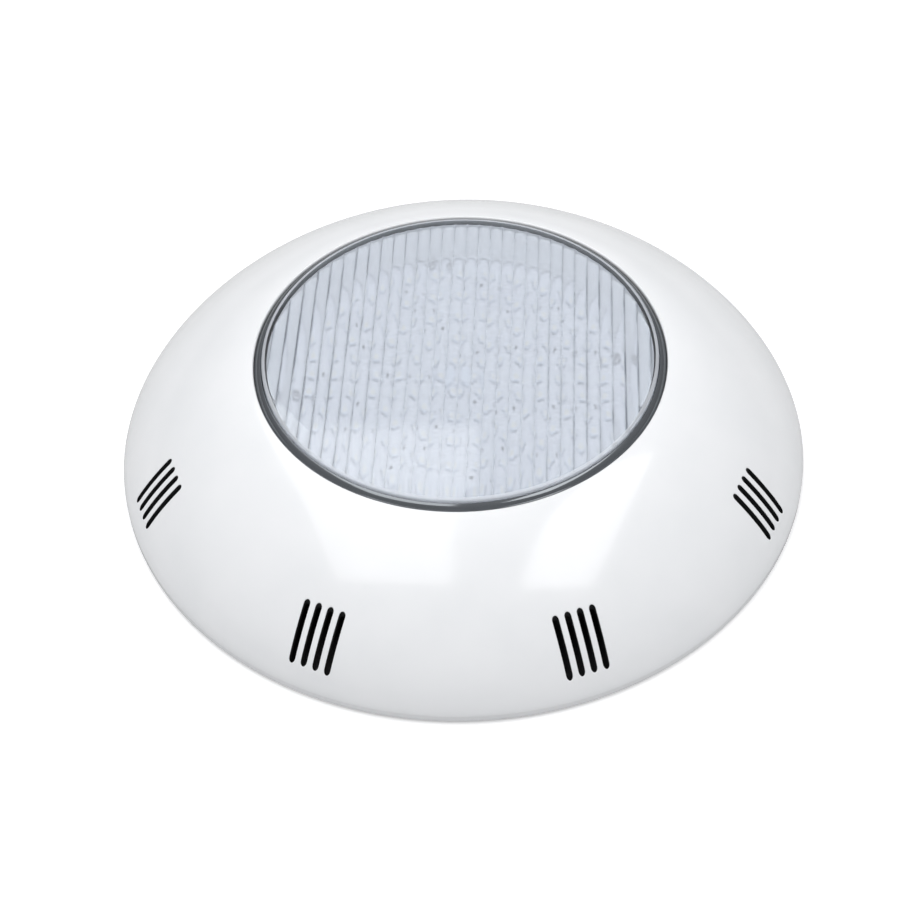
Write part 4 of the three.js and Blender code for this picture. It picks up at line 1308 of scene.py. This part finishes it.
def driver_chip(materials):
    """A small moulded package on eight bent legs."""
    bm = bmesh.new()
    block(bm, mm(-3, -1.9, 0.15), mm(3, 1.9, 1.8), 0.15 * MM)
    for k in range(4):
        x = (k - 1.5) * 1.27 * MM
        for side in (-1, 1):
            for inner, outer, low, high in ((1.8, 2.3, 0.75, 0.95), (2.2, 2.4, 0, 0.95), (2.3, 2.8, 0, 0.18)):
                near, far = sorted((side * inner * MM, side * outer * MM))
                block(bm, (x - 0.2 * MM, near, low * MM), (x + 0.2 * MM, far, high * MM), 0.03 * MM, 1,
                      None, 1)
    return finish_mesh(bm, "driver_chip_fine", materials, 30, place=component_place("driver_chip"))


def terminal_block(materials):
    """A two-way screw terminal: wire mouths in one side and slotted screws on top."""
    body = bmesh.new()
    block(body, mm(-6, -4.5, 0), mm(6, 4.5, 7.6))
    made = finish_mesh(body, "terminal_body", materials, FULL_SMOOTH)
    for x in mm(-3, 3):
        mouth = bmesh.new()
        block(mouth, (x - 1.6 * MM, -6 * MM, 1.6 * MM), (x + 1.6 * MM, -1 * MM, 4.6 * MM))
        combine(made, mouth, "DIFFERENCE")
        well = bmesh.new()
        tube(well, [Vector((x, 0, z * MM)) for z in (5.5, 7, 9)], 1.8 * MM, 32)
        combine(made, well, "DIFFERENCE")
    soften(made, 0.2 * MM)
    apply_modifiers(made)
    bm = bmesh.new()
    bm.from_mesh(made.data)
    for x in mm(-3, 3):
        before = set(bm.faces)
        rows = turned(bm, [mm(0, 5.2), mm(1.6, 5.2), mm(1.6, 6.7), mm(1.45, 6.85),
                           mm(0, 6.85)], 32, closed=False)
        bmesh.ops.translate(bm, vec=(x, 0, 0), verts=vertices_of(rows))
        block(bm, (x - 1.3 * MM, -0.2 * MM, 6.8 * MM), (x + 1.3 * MM, 0.2 * MM, 6.95 * MM), 0.05 * MM)
        mark_faces(set(bm.faces) - before, 1)
    bpy.data.objects.remove(made)
    return finish_mesh(bm, "terminal_block_fine", materials, 35, place=component_place("terminal_block"),
                       turn=about_z(math.pi / 2))


# ---- Cable, wires and gland ----

ALONG_GLAND = Matrix.Rotation(-math.pi / 2, 4, "X")


def smooth(value, low, high):
    """0 up to low and 1 from high on, with an even curve between."""
    t = min(1, max(0, (value - low) / (high - low)))
    return t * t * (3 - 2 * t)


def cable_line():
    """From the gland, twice round the lamp, down to the bracket and into the conduit."""
    x, y, z = GLAND_AXIS
    points = [(x, y + along * MM, z) for along in (-12, -4, 6, 16, 22)]
    for degrees in range(26, DROP_AT + 361, 18):
        radius = COIL_R[0] + (COIL_R[1] - COIL_R[0]) * smooth(degrees, *COIL_WIDENS)
        points.append(polar(radius - smooth(degrees, *COIL_NARROWS) * 3 * MM, math.radians(degrees), z))
    radius = COIL_R[1] - 3 * MM
    drop_at = math.radians(DROP_AT)
    points += [polar(radius, drop_at + along * MM / radius, z) for along in (-4, -2, 0)]
    bend = (z - TAIL_Z) / 2
    for step in range(1, 9):
        angle = math.pi * step / 8
        forward = bend * (math.sin(angle) if step <= 4 else 2 - math.sin(angle))
        points.append(polar(radius, drop_at + forward / radius, z - bend * (1 - math.cos(angle))))
    points += [(px * MM, py * MM, TAIL_Z) for px, py in CABLE_TAIL_MM]
    bend_z, bend_r = 9.7 * MM, 8.5 * MM
    points += [(14 * MM, -2.4 * MM, bend_z - 0.4 * MM), (7 * MM, -0.6 * MM, bend_z)]
    for turn in (20, 40, 60, 78):
        a = math.radians(turn)
        points.append((7 * MM - bend_r * math.sin(a), -0.6 * MM, bend_z - bend_r * (1 - math.cos(a))))
    return smooth_line(points, 1.5 * MM)


def supply_cable(materials):
    bm = bmesh.new()
    tube(bm, cable_line(), CABLE_R, 24)
    return finish_mesh(bm, "supply_cable_fine", materials, 50, weld=0)


def wire(node, points, radius, materials):
    bm = bmesh.new()
    tube(bm, smooth_line(points, 0.8 * MM), radius, 14)
    return finish_mesh(bm, f"{node}_fine", materials, 50, weld=0)


def mains_core(side):
    """The points of a supply core, from the gland to the terminal block."""
    x, y, z = GLAND_AXIS
    entry, top = y - 12.4 * MM, DRIVER_BOX[1].z
    return [(x, entry, z + side * 1.6 * MM), (x - 1 * MM, entry - 3 * MM, z + side * 1.7 * MM),
            (x - 7 * MM, entry - 6 * MM, z + side * 1.8 * MM), (74 * MM, -11 * MM, z + side * 1.8 * MM),
            (60 * MM, (-6 + side * 2.4) * MM, top + 3.6 * MM), (52 * MM, side * 3 * MM, top + 3.2 * MM),
            (42.5 * MM, side * 3 * MM, top + 3.2 * MM)]


def output_lead(side):
    """The points of a lead, from the driver board up through the heat sink to the light's board."""
    top = DRIVER_BOX[1].z
    return [(side * 1.8 * MM, -21 * MM, top + 0.4 * MM), (side * 1.8 * MM, -20.4 * MM, top + 4 * MM),
            (side * 1.6 * MM, -14 * MM, top + 6.2 * MM), (side * 1.5 * MM, -5 * MM, top + 7 * MM),
            (side * 1.4 * MM, -0.6 * MM, top + 10 * MM), (side * 1.4 * MM, 0, SINK_BOX[0].z + 4.6 * MM),
            (side * 1.4 * MM, 0, BOARD_BOX[1].z - 0.6 * MM)]


def along_gland(name, outline, materials, sides=96, sharp=35):
    """A turned piece on the gland's axis, its outline in millimetres."""
    bm = bmesh.new()
    turned(bm, [(r if callable(r) else r * MM, z * MM) for r, z in outline], sides)
    return finish_mesh(bm, name, materials, sharp, place=GLAND_AXIS, turn=ALONG_GLAND)


def ridges(radius, depth, start, end, pitch):
    """A ringed thread's outline, in the same unit as its sizes."""
    count = int((end - start) / pitch)
    points = []
    for k in range(count):
        z = start + k * pitch
        points += [(radius - depth, z), (radius, z + pitch * 0.4), (radius, z + pitch * 0.6)]
    return [*points, (radius - depth, start + count * pitch)]


def gland_body(materials):
    flats = hexagon(18 * MM)
    cut, edge = within(9.4 * MM, flats), within(10.2 * MM, flats)
    outline = [(4.2, -7), (7.2, -7), (7.5, -6.7), (7.5, 0), (7.5, 1.8), (cut, 1.8), (edge, 2.3), (flats, 2.9),
               (flats, 4.9), (edge, 5.5), (cut, 6), (6.7, 6), *ridges(6.7, 0.45, 6.4, 12.6, 1), (6.1, 13),
               (6.1, 12.9), (6.1, 6), (4.2, 6)]
    return along_gland("gland_body_fine", outline, materials)


def gland_nut(materials):
    flats = hexagon(16 * MM)
    edge = within(9 * MM, flats)
    crown = [(7.9 * math.cos(a), 17 + 3.5 * math.sin(a)) for a in (0.15, 0.4, 0.65, 0.9)]
    outline = [(7, 6.3), (within(8.2 * MM, flats), 6.3), (edge, 6.9), (flats, 7.5), (flats, 16.2),
               (edge, 16.8), (within(8.1 * MM, flats), 17.3), *crown, (4.6, 20.5), (4.2, 20.1), (4.2, 15.5),
               (7, 15.5)]
    return along_gland("gland_nut_fine", outline, materials)


def gland_seal(materials):
    inner, outer = CABLE_R / MM + 0.2, CABLE_R / MM + 2.1
    section = rounded([(inner, 7), (outer, 7), (outer, 15), (inner, 15)], 0.5, 4)
    return along_gland("gland_seal_fine", [tuple(p) for p in section], materials, 64)


def gland_o_ring(materials):
    section = [(8.5 + 0.7 * math.cos(TAU * k / 16), 0.85 + 0.75 * math.sin(TAU * k / 16)) for k in range(16)]
    return along_gland("gland_o_ring_fine", section, materials, 96, 60)


# ---- Wall bracket ----

def wall_bracket(materials):
    """A round plate with slotted pads, cut-outs, a conduit hole and a ring that carries the lamp."""
    bm = bmesh.new()
    top = BRACKET_PLATE
    slots = []
    for k in range(4):
        bearing = WALL_SLOT_AT + k * TAU / 4
        place, turn = polar(WALL_SLOT_R, bearing), bearing + math.pi / 2
        slots.append(moved(stadium(-4.25 * MM, 4.25 * MM, 2.75 * MM), place, turn))
        pad = moved(stadium(-5 * MM, 5 * MM, 6 * MM), place, turn)
        plate(bm, pad, [slots[-1]], top - 1 * MM, top + 1.5 * MM)
    cutouts = []
    for k in range(4):
        middle = WALL_SLOT_AT + (k + 0.5) * TAU / 4
        start, end = middle - CUTOUT_HALF_ANGLE, middle + CUTOUT_HALF_ANGLE
        outline = arc((0, 0), CUTOUT_R[1], start, end, 24) + arc((0, 0), CUTOUT_R[0], end, start, 16)
        cutouts.append(rounded(outline, 2 * MM, 5))
    plate(bm, circle(BRACKET_BOX[1].x, 288), [circle(CONDUIT_R, 72), *slots, *cutouts], 0, top)
    ring = rectangle(SUPPORT_R, (top - 1 * MM, BRACKET_BOX[1].z))
    swept(bm, rounded(ring, 0.3 * MM, 2), *SUPPORT_GAP, 220)
    for k in range(STIFFENERS):
        bearing = TAU * (k + 0.5) / STIFFENERS
        matrix = about_z(bearing)
        block(bm, (93 * MM, -1 * MM, top - 0.5 * MM), (135 * MM, 1 * MM, top + 0.6 * MM), 0, 1, matrix)
    return soften(finish_mesh(bm, "wall_bracket_fine", materials, FULL_SMOOTH), 0.4 * MM)


def band(name, outline, depth, edge, materials, place, turn):
    """An outline in a vertical plane, (along, up), given a depth across and rounded edges."""
    bm = bmesh.new()
    capped(bm, [[bm.verts.new((x, y, z)) for x, z in outline] for y in (-depth / 2, depth / 2)])
    made = finish_mesh(bm, name, materials, FULL_SMOOTH, place=place, turn=about_z(turn))
    return soften(made, edge, 2, 50)


def spring_clip(number, materials):
    """A strip bent up from its foot, in over the lamp's rib and out again at its tip."""
    foot = BRACKET_PLATE + GAP + CLIP_STEEL / 2
    line = [Vector((x * MM, foot + z * MM)) for x, z in CLIP_LINE_MM]
    bent = [line[0]]
    for before, corner, after in zip(line, line[1:], line[2:]):
        start = corner + (before - corner).normalized() * min(CLIP_BEND, (before - corner).length * 0.45)
        end = corner + (after - corner).normalized() * min(CLIP_BEND, (after - corner).length * 0.45)
        bent += [start.lerp(corner, t).lerp(corner.lerp(end, t), t) for t in (0, 0.25, 0.5, 0.75, 1)]
    bent.append(line[-1])
    sides = [[], []]
    for point, along in zip(bent, directions(bent)):
        normal = Vector((-along.y, along.x)) * CLIP_STEEL / 2
        sides[0].append(point + normal)
        sides[1].append(point - normal)
    outline = sides[0] + sides[1][::-1]
    return band(f"spring_clip_{number}_fine", outline, CLIP_WIDTH, 0.12 * MM, materials, Vector(),
                math.radians(45 + 90 * (number - 1)))


def cable_clamp(materials):
    low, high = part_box("cable_clamp")
    foot, top = low.z, low.z + 2 * MM
    tip, outer, inner = (high.y - low.y) / 2, 5.7 * MM, 4.4 * MM
    outline = [(tip, foot), (tip, top), (outer, top), *arc((0, TAIL_Z), outer, 0, math.pi, 32),
               (-outer, top), (-tip, top), (-tip, foot), (-inner, foot),
               *arc((0, TAIL_Z), inner, math.pi, 0, 32), (inner, foot)]
    place = Vector(((low.x + high.x) / 2, (low.y + high.y) / 2, 0))
    return band("cable_clamp_fine", outline, high.x - low.x, 0.35 * MM, materials, place, math.pi / 2)


def conduit_grommet(materials):
    bm = bmesh.new()
    bore, neck, lip = CONDUIT_R - 4.5 * MM, CONDUIT_R - GAP, CONDUIT_R + 2.6 * MM
    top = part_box("conduit_grommet")[1].z
    face = BRACKET_PLATE + GAP
    outline = [(bore, GAP), (lip, GAP), (lip, 1.3 * MM), (neck, 1.3 * MM), (neck, face), (lip, face),
               (lip - 0.8 * MM, top), (bore + 0.8 * MM, top), (bore, top - 0.8 * MM)]
    turned(bm, rounded(outline, 0.35 * MM, 4), 96)
    return finish_mesh(bm, "conduit_grommet_fine", materials, 40)


# ---- Stage, lights and camera ----

def stage():
    floor_material = Nodes("studio_floor")
    seen = floor_material.add("ShaderNodeLightPath").outputs["Is Camera Ray"]
    pale = floor_material.between(floor_material.noise(0.6), (0.92, 0.92, 0.925), (0.94, 0.94, 0.945))
    floor_material.set(Base_Color=floor_material.between(seen, (FLOOR_SHADE,) * 3, pale), Roughness=0.9,
                       Emission_Color=(1, 1, 1, 1),
                       Emission_Strength=floor_material.spread(seen, 0, FLOOR_GLOW, (0, 1)))
    bm = bmesh.new()
    bmesh.ops.create_grid(bm, x_segments=1, y_segments=1, size=8)
    bmesh.ops.translate(bm, vec=(0, 0, -FLOOR_DROP), verts=bm.verts)
    finish_mesh(bm, "studio_floor", [floor_material.material])
    world = bpy.data.worlds.new("studio")
    bpy.context.scene.world = world
    world.use_nodes = True
    nodes = world.node_tree.nodes
    sky = nodes["Background"]
    up = nodes.new("ShaderNodeSeparateXYZ")
    fade = nodes.new("ShaderNodeMapRange")
    links = world.node_tree.links
    links.new(nodes.new("ShaderNodeTexCoord").outputs["Generated"], up.inputs[0])
    links.new(up.outputs["Z"], fade.inputs["Value"])
    fade.inputs["To Min"].default_value = SKY[0]
    fade.inputs["To Max"].default_value = SKY[1]
    links.new(fade.outputs["Result"], sky.inputs["Strength"])
    sky.inputs["Color"].default_value = (0.975, 0.985, 1, 1)
    # The camera sees an even pale backdrop. Every other ray meets the graded sky.
    backdrop = nodes.new("ShaderNodeBackground")
    backdrop.inputs["Color"].default_value = (1, 1, 1, 1)
    backdrop.inputs["Strength"].default_value = BACKDROP
    choice = nodes.new("ShaderNodeMixShader")
    links.new(nodes.new("ShaderNodeLightPath").outputs["Is Camera Ray"], choice.inputs[0])
    links.new(sky.outputs[0], choice.inputs[1])
    links.new(backdrop.outputs[0], choice.inputs[2])
    links.new(choice.outputs[0], nodes["World Output"].inputs["Surface"])


def softbox(name, place, target, size, power):
    """A rectangular light at a place, turned to face its target."""
    data = bpy.data.lights.new(name, "AREA")
    data.shape = "RECTANGLE"
    data.size, data.size_y = size
    data.energy = power
    light = bpy.data.objects.new(name, data)
    bpy.context.scene.collection.objects.link(light)
    light.location = place
    light.rotation_euler = (Vector(target) - Vector(place)).to_track_quat("-Z", "Y").to_euler()


def camera():
    data = bpy.data.cameras.new("main_camera")
    data.lens = CAMERA_LENS
    data.sensor_width = CAMERA_SENSOR
    data.clip_start, data.clip_end = 0.01, 50
    data.shift_x, data.shift_y = CAMERA_SHIFT
    view = bpy.data.objects.new("main_camera", data)
    bpy.context.scene.collection.objects.link(view)
    azimuth, elevation = math.radians(CAMERA_AZIMUTH), math.radians(CAMERA_ELEVATION)
    away = Vector((math.sin(azimuth) * math.cos(elevation), -math.cos(azimuth) * math.cos(elevation),
                   math.sin(elevation)))
    aim = (-away).to_track_quat("-Z", "Y").to_matrix().to_4x4()
    roll = about_z(math.radians(CAMERA_ROLL))
    view.matrix_world = Matrix.Translation(away * CAMERA_DISTANCE) @ aim @ roll
    bpy.context.scene.camera = view


# ---- Assembly ----

def build(make, body, slot, *materials):
    """Makes the piece that stands for the CAD node of the same name as its function."""
    stand_in(make(materials), body, slot, make.__name__)


def build_ring():
    build(face_ring, "face_ring", "white_abs", white_abs(), slot_shade())
    build(reflector_ring, "lamp", "white_abs", satin_white())


def build_front(silicone, steel):
    lens_materials = [clear_lens("clear_lens", (0.045, 0.08), (0.99, 0.995, 1)),
                      clear_lens("fluted_face", FROST, (0.97, 0.98, 1), MILK, True),
                      clear_lens("lens_edge", FROST, (0.97, 0.98, 1), EDGE_MILK)]
    build(lens, "lamp", "clear_lens", *lens_materials)
    build(lens_trim_seal, "lamp", "dark_silicone", glossy_silicone())
    build(lens_seal, "lamp", "dark_silicone", silicone)
    build(lens_clamp_ring, "lamp", "stainless", steel)
    screws_for("lamp", "clamp_ring_screw", CLAMP_SCREWS, (2.9, 1.7, 1.5, 6.5), steel)


def build_light_source(steel):
    tin, part = solder(), resistor()
    build(led_board, "lamp", "led_mask", solder_mask(), led_body(), led_window(), tin, part)
    build(heat_sink, "lamp", "aluminium", aluminium())
    screws_for("lamp", "led_board_screw", 4, (3, 1.6, 1.4, 11), steel)
    build(driver_board, "lamp", "green_board", green_board(), part, tin)
    screws_for("lamp", "driver_board_screw", 4, (2.3, 1.5, 1, 4), steel)


def build_driver_parts(black, steel):
    build(bridge_rectifier, "lamp", "black_abs", black)
    sleeve = capacitor_sleeve()
    for node in ("capacitor_1", "capacitor_2"):
        stand_in(capacitor(node, [sleeve, steel]), "lamp", "capacitor_sleeve", node)
    build(choke, "lamp", "ferrite", ferrite(), copper_wire())
    build(driver_chip, "lamp", "black_abs", black, steel)
    case = wire_sleeve("terminal_green", (0.015, 0.12, 0.05), (0.025, 0.16, 0.07))
    build(terminal_block, "lamp", "green_board", case, steel)


def build_wiring(rubber):
    brown = wire_sleeve("brown_wire", (0.09, 0.035, 0.015), (0.13, 0.05, 0.022))
    blue = wire_sleeve("blue_wire", (0.015, 0.07, 0.35), (0.02, 0.1, 0.42))
    red = wire_sleeve("red_wire", (0.38, 0.012, 0.01), (0.46, 0.02, 0.015))
    for node, line, radius, sleeve, slot in (
            ("live_core", mains_core(1), 1.1, brown, "brown_wire"),
            ("neutral_core", mains_core(-1), 1.1, blue, "blue_wire"),
            ("output_lead_positive", output_lead(1), 0.9, red, "red_wire"),
            ("output_lead_negative", output_lead(-1), 0.9, rubber, "black_rubber")):
        stand_in(wire(node, line, radius * MM, [sleeve]), "lamp", slot, node)
    brass = nickel_brass()
    build(gland_body, "lamp", "nickel_brass", brass)
    build(gland_o_ring, "lamp", "black_rubber", rubber)
    build(gland_seal, "gland_seal", "black_rubber", rubber)
    build(gland_nut, "gland_nut", "nickel_brass", brass)
    cable = supply_cable([rubber])
    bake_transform(cable)
    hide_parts("supply_cable")


def build_bracket(black, steel, rubber):
    build(wall_bracket, "bracket", "black_abs", black)
    build(cable_clamp, "bracket", "black_abs", black)
    build(conduit_grommet, "bracket", "black_rubber", rubber)
    screws_for("bracket", "cable_clamp_screw", 2, (2.9, 1.9, 1.5, 5), steel)
    spring = spring_steel()
    for number in range(1, 5):
        stand_in(spring_clip(number, [spring]), "bracket", "stainless", f"spring_clip_{number}")
    screws_for("bracket", "spring_clip_screw", 4, (3.2, 2, 1.5, 4.2), steel)


build_ring()
black_plastic, steel_screw, rubber_black = black_abs(), stainless(), black_rubber()
build_front(dark_silicone(), steel_screw)
build_light_source(steel_screw)
build_driver_parts(black_plastic, steel_screw)
build_wiring(rubber_black)
build(lamp_housing, "lamp", "black_abs", black_plastic)
build_bracket(black_plastic, steel_screw, rubber_black)

stage()
camera()
softbox("key_softbox", (-0.58, 0.1, 1.5), (-0.58, 0.1, 0), (1.06, 2.2), 15)
softbox("fill_softbox", (0.88, -0.25, 1.5), (0.88, -0.25, 0), (0.75, 1.6), 9.8)
bpy.context.scene.view_settings.view_transform = "Standard"
